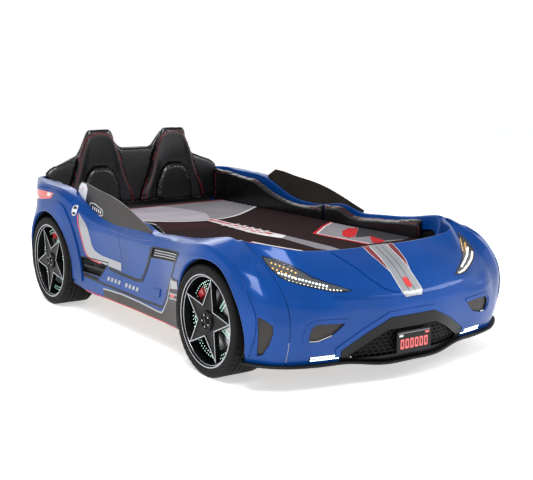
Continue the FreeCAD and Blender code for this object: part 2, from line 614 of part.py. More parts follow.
# Light control
BOX_FRONT_Y = 1070.0
BOX_REAR_Y = 1140.0
control = rounded_box(BUTTON_X - 40, GLAND_X + 40, BOX_FRONT_Y, BOX_REAR_Y, BUTTON_Z - 35, BUTTON_Z + 35, 3)
gland = Part.makeCylinder(GLAND_R, 24, V(GLAND_X, BOX_REAR_Y - 1, BUTTON_Z), V(0, 1, 0))
button_well = Part.makeCylinder(BUTTON_R + BUTTON_CLEARANCE, 12, V(BUTTON_X, BOX_REAR_Y - 10, BUTTON_Z),
                                V(0, 1, 0))
save("control_box", control.cut(button_well).fuse(gland))
button = Part.makeCylinder(BUTTON_R, BUTTON_LENGTH, V(BUTTON_X, BOX_REAR_Y - 4, BUTTON_Z), V(0, 1, 0))
save("power_button", button)
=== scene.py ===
import math
import bmesh
import bpy
import numpy as np
from mathutils import Matrix, Vector
from mathutils.bvhtree import BVHTree
from mathutils.geometry import delaunay_2d_cdt


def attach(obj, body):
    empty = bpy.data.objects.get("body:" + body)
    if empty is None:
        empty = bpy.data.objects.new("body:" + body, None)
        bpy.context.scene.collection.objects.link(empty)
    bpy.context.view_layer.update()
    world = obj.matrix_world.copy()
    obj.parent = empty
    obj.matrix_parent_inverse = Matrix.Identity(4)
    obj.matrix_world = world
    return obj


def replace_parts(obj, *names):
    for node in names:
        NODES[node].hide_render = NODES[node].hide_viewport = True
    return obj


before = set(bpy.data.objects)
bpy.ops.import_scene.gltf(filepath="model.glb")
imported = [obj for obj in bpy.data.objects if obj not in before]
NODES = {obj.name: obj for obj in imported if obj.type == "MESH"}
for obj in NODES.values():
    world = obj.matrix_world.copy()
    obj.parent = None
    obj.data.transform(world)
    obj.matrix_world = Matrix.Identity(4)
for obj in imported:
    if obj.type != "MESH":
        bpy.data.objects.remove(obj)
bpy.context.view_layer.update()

MM = 0.001  # The numbers below are millimetres in the CAD frame, apart from the studio and the pads' limits
BED, MATTRESS = "bed", "mattress_body"
SIDES = ((1, "right"), (-1, "left"))

# ------------------------------------------------------------------ materials


class Shader:
    """A principled material. Values that are the same all over go straight onto its sockets."""

    def __init__(self, name, **uniform):
        self.mat = bpy.data.materials.new(name)
        self.mat.use_nodes = True
        self.tree = self.mat.node_tree
        self.bsdf = self.tree.nodes["Principled BSDF"]
        self.fill_in(self.bsdf, uniform)

    def fill_in(self, node, values):
        for key, value in values.items():
            node.inputs[key.replace("_", " ")].default_value = value

    def node(self, kind, **values):
        node = self.tree.nodes.new("ShaderNode" + kind)
        self.fill_in(node, values)
        return node

    def link(self, source, socket):
        self.tree.links.new(source, socket)

    def place(self, socket):
        self.link(self.node("TexCoord").outputs["Object"], socket)

    def noise(self, scale, detail, stretch=None):
        tex = self.node("TexNoise", Scale=scale, Detail=detail)
        if stretch:
            mapping = self.node("Mapping", Scale=stretch)
            self.place(mapping.inputs["Vector"])
            self.link(mapping.outputs["Vector"], tex.inputs["Vector"])
        else:
            self.place(tex.inputs["Vector"])
        return tex.outputs["Fac"]

    def ramp(self, source, socket, stops):
        node = self.node("ValToRGB")
        colour_stops = node.color_ramp.elements
        while len(colour_stops) < len(stops):
            colour_stops.new(0.5)
        for element, (at, colour) in zip(colour_stops, stops):
            element.position = at
            element.color = (*colour, 1.0)
        self.link(source, node.inputs["Fac"])
        self.link(node.outputs["Color"], socket)

    def tint(self, source, colour, down, up, low=0.3, high=0.7):
        """Base colour between two shades of one colour."""
        shades = [(low, [c * down for c in colour]), (high, [min(1.0, c * up) for c in colour])]
        self.ramp(source, self.bsdf.inputs["Base Color"], shades)

    def grade(self, source, least, most, low=0.3, high=0.7):
        """Roughness between two values."""
        self.ramp(source, self.bsdf.inputs["Roughness"], [(low, (least,) * 3), (high, (most,) * 3)])

    def bump(self, source, strength, distance):
        node = self.node("Bump", Strength=strength, Distance=distance)
        self.link(source, node.inputs["Height"])
        self.link(node.outputs["Normal"], self.bsdf.inputs["Normal"])


def plastic(name, colour, rough=0.35, vary=0.12, grain=900.0, depth=0.00004, coat=0.0, metal=0.0, spec=0.5):
    """Moulded plastic or metal: faint mottling in colour and roughness, and a fine surface grain."""
    s = Shader(name, Metallic=metal, Coat_Weight=coat, Coat_Roughness=0.05, Specular_IOR_Level=spec)
    soft = s.noise(9.0, 3.0)
    s.tint(soft, colour, 1 - vary, 1 + vary)
    s.grade(soft, rough * 0.9, rough * 1.12)
    s.bump(s.noise(grain, 2.0), 0.25, depth)
    return s.mat


def film(name, colour, rough=0.3, vary=0.1, coat=0.4, metal=0.0):
    """Printed or metallised film, smoother than moulded plastic."""
    return plastic(name, colour, rough, vary, 400.0, 0.00002, coat, metal)


def glow(name, colour, strength, body=(0.8, 0.8, 0.8)):
    s = Shader(name, Emission_Color=(*colour, 1.0), Emission_Strength=strength, Roughness=0.25)
    s.tint(s.noise(60.0, 1.0), body, 0.85, 1.0)
    return s.mat


def leather(name, colour, rough):
    """Fine grain cells with soft creases between them."""
    s = Shader(name, Specular_IOR_Level=0.5)
    cells = s.node("TexVoronoi", Scale=320.0)
    cells.feature = "DISTANCE_TO_EDGE"
    s.place(cells.inputs["Vector"])
    soft = s.noise(14.0, 4.0)
    s.tint(soft, colour, 0.75, 1.3, 0.3, 0.72)
    s.grade(soft, rough * 0.94, rough * 1.06, 0.25, 0.75)
    total = s.node("Math")
    total.operation = "ADD"
    s.ramp(cells.outputs["Distance"], total.inputs[0], [(0.0, (0, 0, 0)), (0.12, (1, 1, 1))])
    s.link(s.noise(9.0, 2.0), total.inputs[1])
    s.bump(total.outputs["Value"], 0.07, 0.0004)
    return s.mat


def cloth(name, colour, weave=900.0):
    s = Shader(name, Roughness=0.85, Specular_IOR_Level=0.05, Sheen_Weight=0.01, Sheen_Roughness=0.5)
    both = s.node("Math")
    both.operation = "MULTIPLY"
    for k, direction in enumerate("XY"):
        thread = s.node("TexWave", Scale=weave / 6.0)
        thread.bands_direction = direction
        s.place(thread.inputs["Vector"])
        s.link(thread.outputs["Fac"], both.inputs[k])
    s.tint(s.noise(5.0, 5.0), colour, 0.88, 1.12)
    s.bump(both.outputs["Value"], 0.3, 0.0003)
    return s.mat


def wood(name, light, dark, scale, stretch):
    s = Shader(name, Roughness=0.6)
    grain = s.noise(scale, 8.0, stretch)
    s.ramp(grain, s.bsdf.inputs["Base Color"], [(0.35, dark), (0.65, light)])
    s.bump(grain, 0.25, 0.0004)
    return s.mat


def car_paint(name, colour):
    s = Shader(name, Metallic=0.12, Specular_IOR_Level=0.1, Coat_Weight=0.34, Coat_Roughness=0.07)
    s.tint(s.noise(3.0, 2.0), colour, 0.88, 1.14, 0.35, 0.65)
    s.grade(s.noise(2600.0, 1.0), 0.26, 0.36)
    s.bump(s.noise(140.0, 2.0), 0.06, 0.0003)
    return s.mat


def clear(name, colour):
    s = Shader(name, Roughness=0.03, Alpha=0.08, Coat_Weight=1.0, Coat_Roughness=0.03)
    s.tint(s.noise(12.0, 2.0), colour, 0.95, 1.0)
    return s.mat


M = {
    "paint": car_paint("blue_paint", (0.0012, 0.047, 0.232)),
    "smoke": plastic("smoked_plastic", (0.023, 0.0185, 0.015), 0.34, 0.1, depth=0.00001, coat=0.04, spec=0.2),
    "lens": clear("clear_lens", (0.9, 0.94, 0.97)),
    "black_gloss": plastic("black_gloss", (0.0035, 0.0035, 0.004), 0.32, 0.2, coat=0.08, spec=0.2),
    "black": plastic("black_plastic", (0.004, 0.004, 0.0045), 0.5, 0.2, 700.0, 0.0001, spec=0.15),
    "vent": plastic("vent_plastic", (0.030, 0.026, 0.023), 0.42, 0.25, 500.0, 0.0002, spec=0.25),
    "led": glow("led_bar", (0.66, 0.94, 1.0), 3.4),
    "led_soft": glow("led_dot", (0.80, 0.98, 1.0), 1.7),
    "led_amber": glow("led_amber", (1.0, 0.50, 0.06), 0.9, (0.8, 0.45, 0.08)),
    "led_green": glow("led_green", (0.55, 1.0, 0.80), 1.6),
    "led_warm": glow("led_warm", (1.0, 0.95, 0.72), 1.1),
    "tail_red": plastic("tail_lens", (0.62, 0.055, 0.035), 0.12, 0.2, coat=1.0),
    "tail_clear": plastic("tail_clear", (0.72, 0.62, 0.60), 0.10, 0.1, coat=1.0),
    "sill": plastic("sill_plastic", (0.050, 0.042, 0.040), 0.4, 0.15, 500.0, spec=0.25),
    "silver": film("silver_foil", (0.33, 0.34, 0.355), 0.34, 0.05, metal=0.45),
    "white": film("white_film", (0.62, 0.63, 0.65), 0.3, 0.03),
    "coral": film("coral_film", (0.72, 0.11, 0.10), 0.35, 0.06, 0.3),
    # Painted shade: a darker blue than the body paint, for the thin strip that stands in for a crease's shading
    "seam": film("crease_painted_shade", (0.008, 0.03, 0.20), coat=0.5),
    "red": film("red_film", (0.62, 0.03, 0.03)),
    "dark_red": film("dark_red_film", (0.16, 0.012, 0.018)),
    "tyre": plastic("tyre_rubber", (0.0065, 0.0065, 0.006), 0.6, 0.25, 420.0, 0.0003, spec=0.12),
    "rim": plastic("rim_paint", (0.0035, 0.0035, 0.004), 0.36, 0.15, spec=0.12),
    "rim_edge": plastic("rim_edge", (0.40, 0.41, 0.43), 0.2, 0.06, 300.0, 0.00002, metal=0.9),
    "disc": plastic("disc_steel", (0.34, 0.34, 0.35), 0.32, 0.1, 250.0, 0.0001, metal=1.0),
    "caliper": plastic("caliper_red", (0.50, 0.02, 0.03), 0.28, 0.1, coat=0.6),
    "board": wood("black_board", (0.026, 0.026, 0.028), (0.014, 0.014, 0.015), 6.0, (12.0, 1.0, 12.0)),
    "slat": wood("slat_wood", (0.66, 0.50, 0.32), (0.50, 0.36, 0.21), 5.0, (1.0, 12.0, 12.0)),
    "steel": plastic("zinc_steel", (0.52, 0.52, 0.55), 0.32, 0.1, 300.0, 0.0001, metal=1.0),
    "leather": leather("black_leather", (0.0035, 0.0035, 0.0042), 0.27),
    "stitch": cloth("red_thread", (0.42, 0.03, 0.05), 3000.0),
    "maroon": cloth("cover_maroon", (0.0125, 0.0022, 0.003)),
    # Painted light: a brighter copy of the cover's maroon, for the lighter area laid on the mattress
    "maroon_soft": cloth("cover_maroon_painted_light", (0.026, 0.0045, 0.006)),
    "cover_grey": cloth("cover_grey", (0.20, 0.19, 0.205)),
    "cover_pale": cloth("cover_pale", (0.36, 0.33, 0.37)),
    "cover_white": cloth("cover_white", (0.62, 0.60, 0.60)),
    "cover_red": cloth("cover_red", (0.42, 0.014, 0.018)),
    "cover_dark": cloth("cover_dark", (0.030, 0.028, 0.032)),
}
# Slot names by material, for a piece that doesn't name its own; add_object works one out but keeps it nowhere
SLOTS = {"paint": "body_blue", "leather": "black_leather", "lens": "clear_lens", "sill": "sill_grey"}

# ------------------------------------------------------------------ mesh tools


def link_object(name, mesh):
    obj = bpy.data.objects.new(name, mesh)
    bpy.context.scene.collection.objects.link(obj)
    return obj


def add_object(name, mesh, material=None, smooth=True, slot=None, body=BED):
    """A visible piece. Its mesh has its materials already where material is None."""
    obj = link_object(name, mesh)
    if material:
        mesh.materials.append(M[material])
    if smooth:
        mesh.polygons.foreach_set("use_smooth", [True] * len(mesh.polygons))
    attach(obj, body)
    slot = slot or SLOTS.get(material)
    return obj


def mesh_from(name, verts, faces):
    mesh = bpy.data.meshes.new(name)
    mesh.from_pydata([tuple(map(float, v)) for v in verts], [], [tuple(map(int, f)) for f in faces])
    mesh.validate()
    mesh.update()
    return mesh


def edit(mesh, change):
    bm = bmesh.new()
    bm.from_mesh(mesh)
    change(bm)
    bm.to_mesh(mesh)
    bm.free()
    return mesh


def oriented(name, verts, faces, outward):
    """A mesh whose faces look outward on the whole."""
    def change(bm):
        bmesh.ops.delete(bm, geom=[v for v in bm.verts if not v.link_faces], context="VERTS")
        bmesh.ops.recalc_face_normals(bm, faces=bm.faces)
        if sum(f.normal.dot(Vector(outward)) * f.calc_area() for f in bm.faces) < 0:
            bmesh.ops.reverse_faces(bm, faces=bm.faces)
    return edit(mesh_from(name, verts, faces), change)


def mirror_mesh(mesh):
    def change(bm):
        for v in bm.verts:
            v.co.x = -v.co.x
        bmesh.ops.reverse_faces(bm, faces=bm.faces)
    return edit(mesh.copy(), change)


def pair(name, mesh, material, node=None, smooth=True, slot=None):
    """A piece on both sides of the car. A * in node stands for the side; without it the right piece stands for it."""
    twin = mirror_mesh(mesh)
    right = add_object(name + "_right", mesh, material, smooth, slot)
    twin.materials.append(M[material])
    left = add_object(name + "_left", twin, None, smooth, slot or SLOTS.get(material))
    if node:
        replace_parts(right, node.replace("*", "right"))
    if node and "*" in node:
        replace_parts(left, node.replace("*", "left"))
    return right, left


def apply_modifiers(obj):
    mesh = bpy.data.meshes.new_from_object(obj.evaluated_get(bpy.context.evaluated_depsgraph_get()))
    obj.modifiers.clear()
    old, obj.data = obj.data, mesh
    if old.users == 0:
        bpy.data.meshes.remove(old)


def modify(obj, kind, **settings):
    mod = obj.modifiers.new(kind.lower(), kind)
    for key, value in settings.items():
        setattr(mod, key, value)
    apply_modifiers(obj)


def thicken(mesh, thick, split=50):
    """Thickness inwards from the mesh's faces, with crisp edges where they turn by more than split degrees."""
    obj = link_object("thicken", mesh)
    if thick:
        modify(obj, "SOLIDIFY", thickness=thick * MM, offset=-1.0)
    if split:
        modify(obj, "EDGE_SPLIT", split_angle=math.radians(split))
    mesh = obj.data
    bpy.data.objects.remove(obj)
    return mesh


def coordinates(mesh, what="co"):
    values = np.zeros(len(mesh.vertices) * 3)
    mesh.vertices.foreach_get(what, values)
    return values.reshape(-1, 3)


def set_coordinates(mesh, values):
    mesh.vertices.foreach_set("co", values.ravel())
    mesh.update()


def tree_of(mesh):
    bm = bmesh.new()
    bm.from_mesh(mesh)
    tree = BVHTree.FromBMesh(bm)
    bm.free()
    return tree


def strip_faces(rows, columns, closed=False):
    """Quads between rows of points; a closed strip joins its last row to its first."""
    faces = []
    for k in range(rows if closed else rows - 1):
        after = (k + 1) % rows
        for j in range(columns - 1):
            faces.append((k * columns + j, k * columns + j + 1, after * columns + j + 1, after * columns + j))
    return faces


def extruded(low, high):
    """Verts and faces of a closed solid between two matching rings of points."""
    n = len(low)
    faces = [(k, (k + 1) % n, n + (k + 1) % n, n + k) for k in range(n)]
    return low + high, faces + [tuple(range(n))[::-1], tuple(range(n, 2 * n))]


def prism_mesh(points, axis, low, high):
    """A closed polygon pushed along an axis; points are the other two coordinates in X, Y, Z order."""
    rings = []
    for level in (low, high):
        rings.append([tuple(c * MM for c in {"X": (level, a, b), "Y": (a, level, b), "Z": (a, b, level)}[axis])
                      for a, b in points])
    mesh = mesh_from("prism", *extruded(*rings))
    return edit(mesh, lambda bm: bmesh.ops.recalc_face_normals(bm, faces=bm.faces))


# ------------------------------------------------------------------ outlines


def spline(params, values, queries):
    """Natural cubic spline through values at params, for each column, read at queries."""
    x, y, q = (np.asarray(v, float) for v in (params, values, queries))
    n = len(x)
    h = np.diff(x)
    a = np.zeros((n, n))
    b = np.zeros((n, y.shape[1]))
    a[0, 0] = a[-1, -1] = 1.0
    for i in range(1, n - 1):
        a[i, i - 1:i + 2] = h[i - 1], 2 * (h[i - 1] + h[i]), h[i]
        b[i] = 6 * ((y[i + 1] - y[i]) / h[i] - (y[i] - y[i - 1]) / h[i - 1])
    m = np.linalg.solve(a, b)
    k = np.clip(np.searchsorted(x, q) - 1, 0, n - 2)
    t0, t1, hk = (x[k + 1] - q)[:, None], (q - x[k])[:, None], h[k][:, None]
    return (m[k] * t0 ** 3 + m[k + 1] * t1 ** 3) / (6 * hk) + (y[k] / hk - m[k] * hk / 6) * t0 + (
        y[k + 1] / hk - m[k + 1] * hk / 6) * t1


def runs(points):
    """The distance along a line to each of its points."""
    return np.concatenate([[0.0], np.cumsum(np.linalg.norm(np.diff(np.array(points, float), axis=0), axis=1))])


def smooth_open(points, count=60):
    params = runs(points)
    return [tuple(p) for p in spline(params, points, np.linspace(0, params[-1], count))]


def walk(line):
    """A line's length, and a function that gives the point at a distance along it."""
    params, pts = runs(line), np.array(line, float)
    return params[-1], lambda d: tuple(np.interp(d, params, pts[:, i]) for i in (0, 1))


def along(line, count):
    total, at = walk(line)
    return [at(total * (k + 0.5) / count) for k in range(count)]


def sides_of(poly):
    return zip(poly, poly[1:] + poly[:1])


def inside(point, poly):
    x, y = point
    hit = False
    for (x0, y0), (x1, y1) in sides_of(poly):
        if (y0 > y) != (y1 > y) and x < (x1 - x0) * (y - y0) / (y1 - y0) + x0:
            hit = not hit
    return hit


def refine(poly, spacing):
    out = []
    for (x0, y0), (x1, y1) in sides_of(poly):
        steps = max(1, int(math.hypot(x1 - x0, y1 - y0) / spacing))
        out += [(x0 + (x1 - x0) * k / steps, y0 + (y1 - y0) * k / steps) for k in range(steps)]
    return out


def rounded(poly, radius, steps=4):
    out = []
    for k, corner in enumerate(poly):
        before, here, after = Vector(poly[k - 1]), Vector(corner), Vector(poly[(k + 1) % len(poly)])
        reach = min(radius, (before - here).length * 0.45, (after - here).length * 0.45)
        a = here + (before - here).normalized() * reach
        b = here + (after - here).normalized() * reach
        for step in range(steps + 1):
            t = step / steps
            out.append(tuple(a * (1 - t) ** 2 + here * 2 * t * (1 - t) + b * t * t))
    return out


def band(line, width):
    """The outline of a strip of constant width along an open line."""
    pts = [Vector(p) for p in line]
    left, right = [], []
    for k, p in enumerate(pts):
        before = (p - pts[k - 1]).normalized() if k else (pts[1] - p).normalized()
        after = (pts[k + 1] - p).normalized() if k + 1 < len(pts) else before
        side = Vector((-(before + after).y, (before + after).x)).normalized()
        reach = side * width / 2 / max(0.5, side.dot(Vector((-before.y, before.x))))
        left.append(tuple(p + reach))
        right.append(tuple(p - reach))
    return left + right[::-1]


def loop_band(poly, width):
    return band(poly + poly[:1], width)


def ellipse(x, y, across, high, count):
    turns = np.linspace(0, 2 * math.pi, count, endpoint=False)
    return [(x + across * math.cos(a), y + high * math.sin(a)) for a in turns]


def fill(poly, spacing, clearance=0.0):
    """Points and triangles that fill an outline. With a clearance, there are points inside it too."""
    ring = refine(poly, spacing)
    pts = [Vector(p) for p in ring]
    n = len(pts)
    if clearance:
        least = (spacing * clearance) ** 2
        (x0, x1), (y0, y1) = ((min(c) + spacing / 2, max(c)) for c in zip(*ring))
        for x in np.arange(x0, x1, spacing):
            for y in np.arange(y0, y1, spacing):
                if inside((x, y), ring) and min((p[0] - x) ** 2 + (p[1] - y) ** 2 for p in ring) > least:
                    pts.append(Vector((x, y)))
    edges = [(k, (k + 1) % n) for k in range(n)]
    flat, _, tris, _, _, _ = delaunay_2d_cdt(pts, edges, [list(range(n))], 1, 1e-4)
    return flat, [f for f in tris if inside(sum((flat[i] for i in f), Vector((0, 0))) / 3, ring)]


# ------------------------------------------------------------------ body ring

# Plan point x, y; heading of the outward direction; then eight rows from the inner flange to the lowest edge,
# each as (distance inwards from the plan point, height). This is the +X side; the other side is mirrored.
HALF_RING = [
    (0, -1167, -90, [(236, 416), (232, 486), (115, 425), (9, 330), (3, 285), (3, 243), (6, 130), (20, 84)]),
    (150, -1163, -90, [(233, 417), (229, 487), (112, 427), (10, 333), (3, 286), (6, 243), (14, 130), (28, 84)]),
    (280, -1150, -90, [(229, 421), (225, 491), (110, 428), (15, 342), (3, 295), (10, 245), (34, 136), (45, 101)]),
    (378, -1138, -90, [(217, 433), (213, 503), (111, 420), (36, 352), (4, 300), (8, 250), (36, 142), (48, 103)]),
    (450, -1122, -90, [(254, 430), (230, 520), (170, 458), (72, 380), (9, 318), (4, 250), (30, 152), (46, 105)]),
    (520, -1092, -90, [(342, 430), (318, 530), (215, 484), (99, 414), (22, 338), (2, 250), (16, 170), (35, 109)]),
    (598, -1044, -75, [(296, 430), (272, 532), (150, 489), (62, 420), (10, 345), (0, 265), (14, 170), (36, 113)]),
    (650, -969, -58, [(254, 430), (230, 533), (140, 493), (55, 446), (8, 372), (0, 270), (10, 175), (22, 121)]),
    (655, -815, -28, [(161, 432), (137, 534), (75, 507), (22, 482), (3, 432), (0, 300), (8, 185), (18, 132)]),
    (657, -708, 0, [(126, 464), (122, 534), (70, 521), (24, 507), (3, 470), (0, 330), (8, 200), (20, 140)]),
    (650, -560, 0, [(108, 438), (104, 508), (60, 505), (25, 492), (5, 450), (5, 330), (15, 200), (22, 138)]),
    (628, -430, 0, [(84, 424), (80, 494), (46, 491), (20, 476), (8, 430), (12, 320), (14, 192), (14, 126)]),
    (610, -300, 0, [(66, 416), (62, 486), (30, 481), (12, 468), (4, 430), (18, 310), (8, 190), (4, 125)]),
    (606, -180, 0, [(62, 415), (58, 485), (26, 475), (10, 463), (3, 430), (20, 310), (8, 190), (2, 124)]),
    (604, -95, 0, [(60, 438), (56, 508), (24, 471), (9, 459), (2, 430), (20, 310), (8, 190), (2, 124)]),
    (604, 90, 0, [(60, 424), (56, 494), (24, 463), (9, 452), (2, 425), (20, 310), (8, 190), (2, 123)]),
    (607, 250, 0, [(62, 419), (58, 489), (26, 464), (9, 453), (1, 425), (18, 310), (8, 190), (3, 122)]),
    (618, 400, 0, [(70, 438), (66, 508), (34, 495), (12, 475), (1, 430), (12, 315), (10, 190), (10, 122)]),
    (634, 500, 0, [(84, 470), (80, 540), (42, 535), (16, 512), (2, 455), (7, 320), (12, 200), (20, 138)]),
    (650, 620, 0, [(102, 510), (98, 580), (52, 578), (16, 556), (2, 485), (0, 335), (8, 205), (20, 150)]),
    (657, 770, 0, [(108, 525), (104, 595), (58, 593), (18, 568), (4, 492), (0, 340), (8, 220), (20, 150)]),
    (655, 920, 0, [(107, 530), (103, 600), (51, 598), (21, 575), (17, 500), (0, 350), (10, 230), (22, 170)]),
    (630, 1040, 22, [(80, 533), (76, 603), (54, 602), (46, 575), (48, 500), (6, 350), (8, 230), (24, 175)]),
    (580, 1128, 50, [(70, 533), (66, 603), (44, 602), (36, 575), (42, 500), (8, 350), (8, 230), (26, 178)]),
    (490, 1160, 78, [(56, 532), (52, 602), (32, 601), (26, 575), (32, 500), (6, 350), (8, 230), (26, 178)]),
    (250, 1166, 88, [(58, 530), (54, 600), (34, 599), (28, 574), (34, 500), (6, 350), (8, 230), (26, 178)]),
    (0, 1168, 90, [(60, 530), (56, 600), (36, 599), (30, 574), (36, 500), (6, 350), (8, 230), (26, 178)]),
]
# How far the rounding of each row's corner reaches along its neighbours, as a share of the shorter one
ROW_ROUNDING = [0.0, 0.45, 0.75, 0.55, 0.8, 0.9, 0.8, 0.0]
MARGIN = 3  # Mirrored stations past each end of the half ring, so that the spline runs straight across it
CORNER_STEPS, FLAT_STEPS = 7, 3
GAP = 1.2   # From a panel's edge to the joint line


def ring_rows():
    last = len(HALF_RING) - 1
    table, plan = [], []
    for k in range(-MARGIN, last + MARGIN + 1):
        x, y, heading, rows = HALF_RING[last - abs(last - abs(k))]
        side = 1.0 if 0 <= k <= last else -1.0
        c, s = math.cos(math.radians(heading)), math.sin(math.radians(heading))
        plan.append((side * x, y))
        table.append([v for inset, z in rows for v in (side * (x - c * inset), y - s * inset, z)])
    return runs(plan), np.array(table)


RING_U, RING_TABLE = ring_rows()


def profile(points, rounding):
    """Rounds a polyline's corners with short quadratic arcs. points is (rows, 3)."""
    seg = points[1:] - points[:-1]
    length = np.linalg.norm(seg, axis=1)
    out = [points[0]]

    def straight_to(end):
        start = out[-1]
        out.extend(start + (end - start) * step / FLAT_STEPS for step in range(1, FLAT_STEPS + 1))

    for k in range(1, len(points) - 1):
        reach = rounding[k] * 0.5 * min(length[k - 1], length[k])
        a = points[k] - seg[k - 1] / length[k - 1] * reach
        b = points[k] + seg[k] / length[k] * reach
        straight_to(a)
        for step in range(1, CORNER_STEPS + 1):
            t = step / CORNER_STEPS
            out.append(a * (1 - t) ** 2 + points[k] * 2 * t * (1 - t) + b * t * t)
    straight_to(points[-1])
    return np.array(out)


def ring_grid(u0, u1, spacing=12.0):
    us = np.linspace(u0, u1, max(2, int(abs(u1 - u0) / spacing)) + 1)
    rows = spline(RING_U, RING_TABLE, us).reshape(len(us), len(ROW_ROUNDING), 3)
    return np.array([profile(r, ROW_ROUNDING) for r in rows])


def mirrored_grid(grid):
    return grid * (-1, 1, 1)


# The joint lines: nose, hood corner, middle of the door, tail corner, middle of the back
FRONT_U, HOOD_U, DOOR_U, REAR_U, BACK_U = (RING_U[i + MARGIN] for i in (0, 5, 15, 23, 26))
front_right = ring_grid(FRONT_U, HOOD_U - GAP)
front_grid = np.concatenate([mirrored_grid(front_right)[::-1][:-1], front_right])
side_grid = ring_grid(HOOD_U + GAP, DOOR_U - GAP)
tail_grid = ring_grid(DOOR_U + GAP, REAR_U - GAP)
back_right = ring_grid(REAR_U + GAP, BACK_U)
back_grid = np.concatenate([back_right, mirrored_grid(back_right)[::-1][1:]])


def surface_tree(*grids):
    verts, faces = [], []
    for grid in grids:
        base = len(verts)
        verts += [Vector(p) for p in grid.reshape(-1, 3) * MM]
        faces += [tuple(base + i for i in f) for f in strip_faces(*grid.shape[:2])]
    return BVHTree.FromPolygons(verts, faces)


# The right half of the body without its openings. The middle grid laps 60 mm over its neighbours.
RIGHT = surface_tree(front_right, ring_grid(HOOD_U - 60, DOOR_U + 60), ring_grid(DOOR_U - 60, BACK_U))

# ------------------------------------------------------------------ camera, light, floor


def area_light(name, place, target, size, power):
    data = bpy.data.lights.new(name, "AREA")
    data.shape = "RECTANGLE"
    data.size = data.size_y = size
    data.energy = power
    lamp = link_object(name, data)
    lamp.location = place
    lamp.rotation_euler = (Vector(target) - Vector(place)).to_track_quat("-Z", "Y").to_euler()


def studio():
    azimuth, pitch, roll = (math.radians(a) for a in (-35.06, 9.63, 0.3))
    back = Vector((math.sin(azimuth) * math.cos(pitch), -math.cos(azimuth) * math.cos(pitch), math.sin(pitch)))
    level = (-back).cross(Vector((0, 0, 1))).normalized()
    upright = level.cross(-back)
    right = level * math.cos(roll) + upright * math.sin(roll)
    up = upright * math.cos(roll) - level * math.sin(roll)
    data = bpy.data.cameras.new("camera")
    data.sensor_width = 36.0
    data.lens = 1014.2 / 533 * 36.0  # The focal length is 1014.2 pixels of a picture 533 wide
    data.shift_x, data.shift_y = -0.0081, 0.0019
    data.clip_end = 50.0
    camera = link_object("camera", data)
    turn = Matrix((right, up, back)).transposed().to_4x4()
    camera.matrix_world = Matrix.Translation((-2.585, -3.9055, 1.160)) @ turn
    bpy.context.scene.camera = camera

    mesh = mesh_from("floor", [(-14, -14, 0), (14, -14, 0), (14, 14, 0), (-14, 14, 0)], [(0, 1, 2, 3)])
    pale = Shader("floor_pale", Base_Color=(0.92, 0.92, 0.92, 1), Emission_Color=(1, 1, 1, 1),
                  Emission_Strength=0.52, Roughness=0.7, Specular_IOR_Level=0.2)
    mesh.materials.append(pale.mat)
    link_object("floor", mesh)

    area_light("key", (-1.8, -2.2, 4.2), (0, 0, 0.3), 2.2, 190)
    area_light("fill", (3.8, -3.0, 3.0), (0, 0, 0.3), 2.0, 80)
    area_light("rim", (1.2, 4.2, 3.6), (0, 0, 0.4), 2.6, 70)
    world = bpy.data.worlds.new("world")
    world.use_nodes = True
    nodes, links = world.node_tree.nodes, world.node_tree.links
    coord = nodes.new("ShaderNodeTexCoord")
    split = nodes.new("ShaderNodeSeparateXYZ")
    sky = nodes.new("ShaderNodeValToRGB")
    # White round the horizon, dimmer overhead so that the soft boxes shape the body
    stops = sky.color_ramp.elements
    stops.new(0.5)
    for stop, (at, colour) in zip(stops, ((0.0, (1, 1, 1, 1)), (0.28, (1, 1, 1, 1)), (0.6, (0.28, 0.29, 0.31, 1)))):
        stop.position, stop.color = at, colour
    links.new(coord.outputs["Generated"], split.inputs["Vector"])
    links.new(split.outputs["Z"], sky.inputs["Fac"])
    links.new(sky.outputs["Color"], nodes["Background"].inputs["Color"])
    nodes["Background"].inputs["Strength"].default_value = 1.12
    bpy.context.scene.world = world
    bpy.context.scene.view_settings.view_transform = "Standard"


studio()

# ------------------------------------------------------------------ body panels

# Wheel openings as y, z, radius. Outlines are x, y from above, x, z from the front and y, z from the side.
FRONT_ARCH, REAR_ARCH = (-730.0, 212.0, 250.0), (765.0, 228.0, 239.0)
HEADLIGHT = [(505, -884), (472, -921), (437, -967), (384, -1033), (345, -1063), (262, -1113), (298, -1109),
             (338, -1097), (388, -1070), (438, -1038), (474, -1011), (496, -985), (508, -945), (510, -912)]
GRILLE = [(-110, 252), (110, 252), (206, 208), (306, 146), (306, 104), (250, 82), (-250, 82), (-306, 104),
          (-306, 146), (-206, 208)]
BUMPER_VENT = [(310, 251), (372, 257), (430, 259), (447, 246), (453, 220), (447, 194), (412, 192), (362, 206),
               (333, 228)]
FOG_LIGHT = [(308, 110), (308, 132), (436, 136), (436, 114)]
FENDER_VENT = [(-1020, 297), (-1041, 283), (-1058, 262), (-1058, 236), (-1045, 192), (-1022, 151), (-1004, 147),
               (-1014, 192), (-1020, 238)]
SIDE_VENT = [(-229, 429), (-490, 446), (-458, 402), (-190, 379)]
REAR_SCOOP = [(216, 288), (457, 284), (448, 212), (290, 212)]


def true_normals(mesh, skin):
    """Gives the outer faces of a cut panel the normals of the smooth skin that it was cut from."""
    bm = bmesh.new()
    bm.from_mesh(skin)
    bm.normal_update()
    tree = BVHTree.FromBMesh(bm)
    bm.faces.ensure_lookup_table()
    normals = []
    for poly in mesh.polygons:
        for loop in poly.loop_indices:
            place, normal, index, distance = tree.find_nearest(mesh.vertices[mesh.loops[loop].vertex_index].co)
            blend = poly.normal.copy()
            if distance < 0.0004 and poly.normal.dot(normal) > 0.5:
                corners = bm.faces[index].verts
                near = [1.0 / max(1e-7, (v.co - place).length) ** 2 for v in corners]
                blend = sum((v.normal * w for v, w in zip(corners, near)), Vector((0, 0, 0))) / sum(near)
            normals.append(blend.normalized())
    mesh.normals_split_custom_set(normals)
    bm.free()


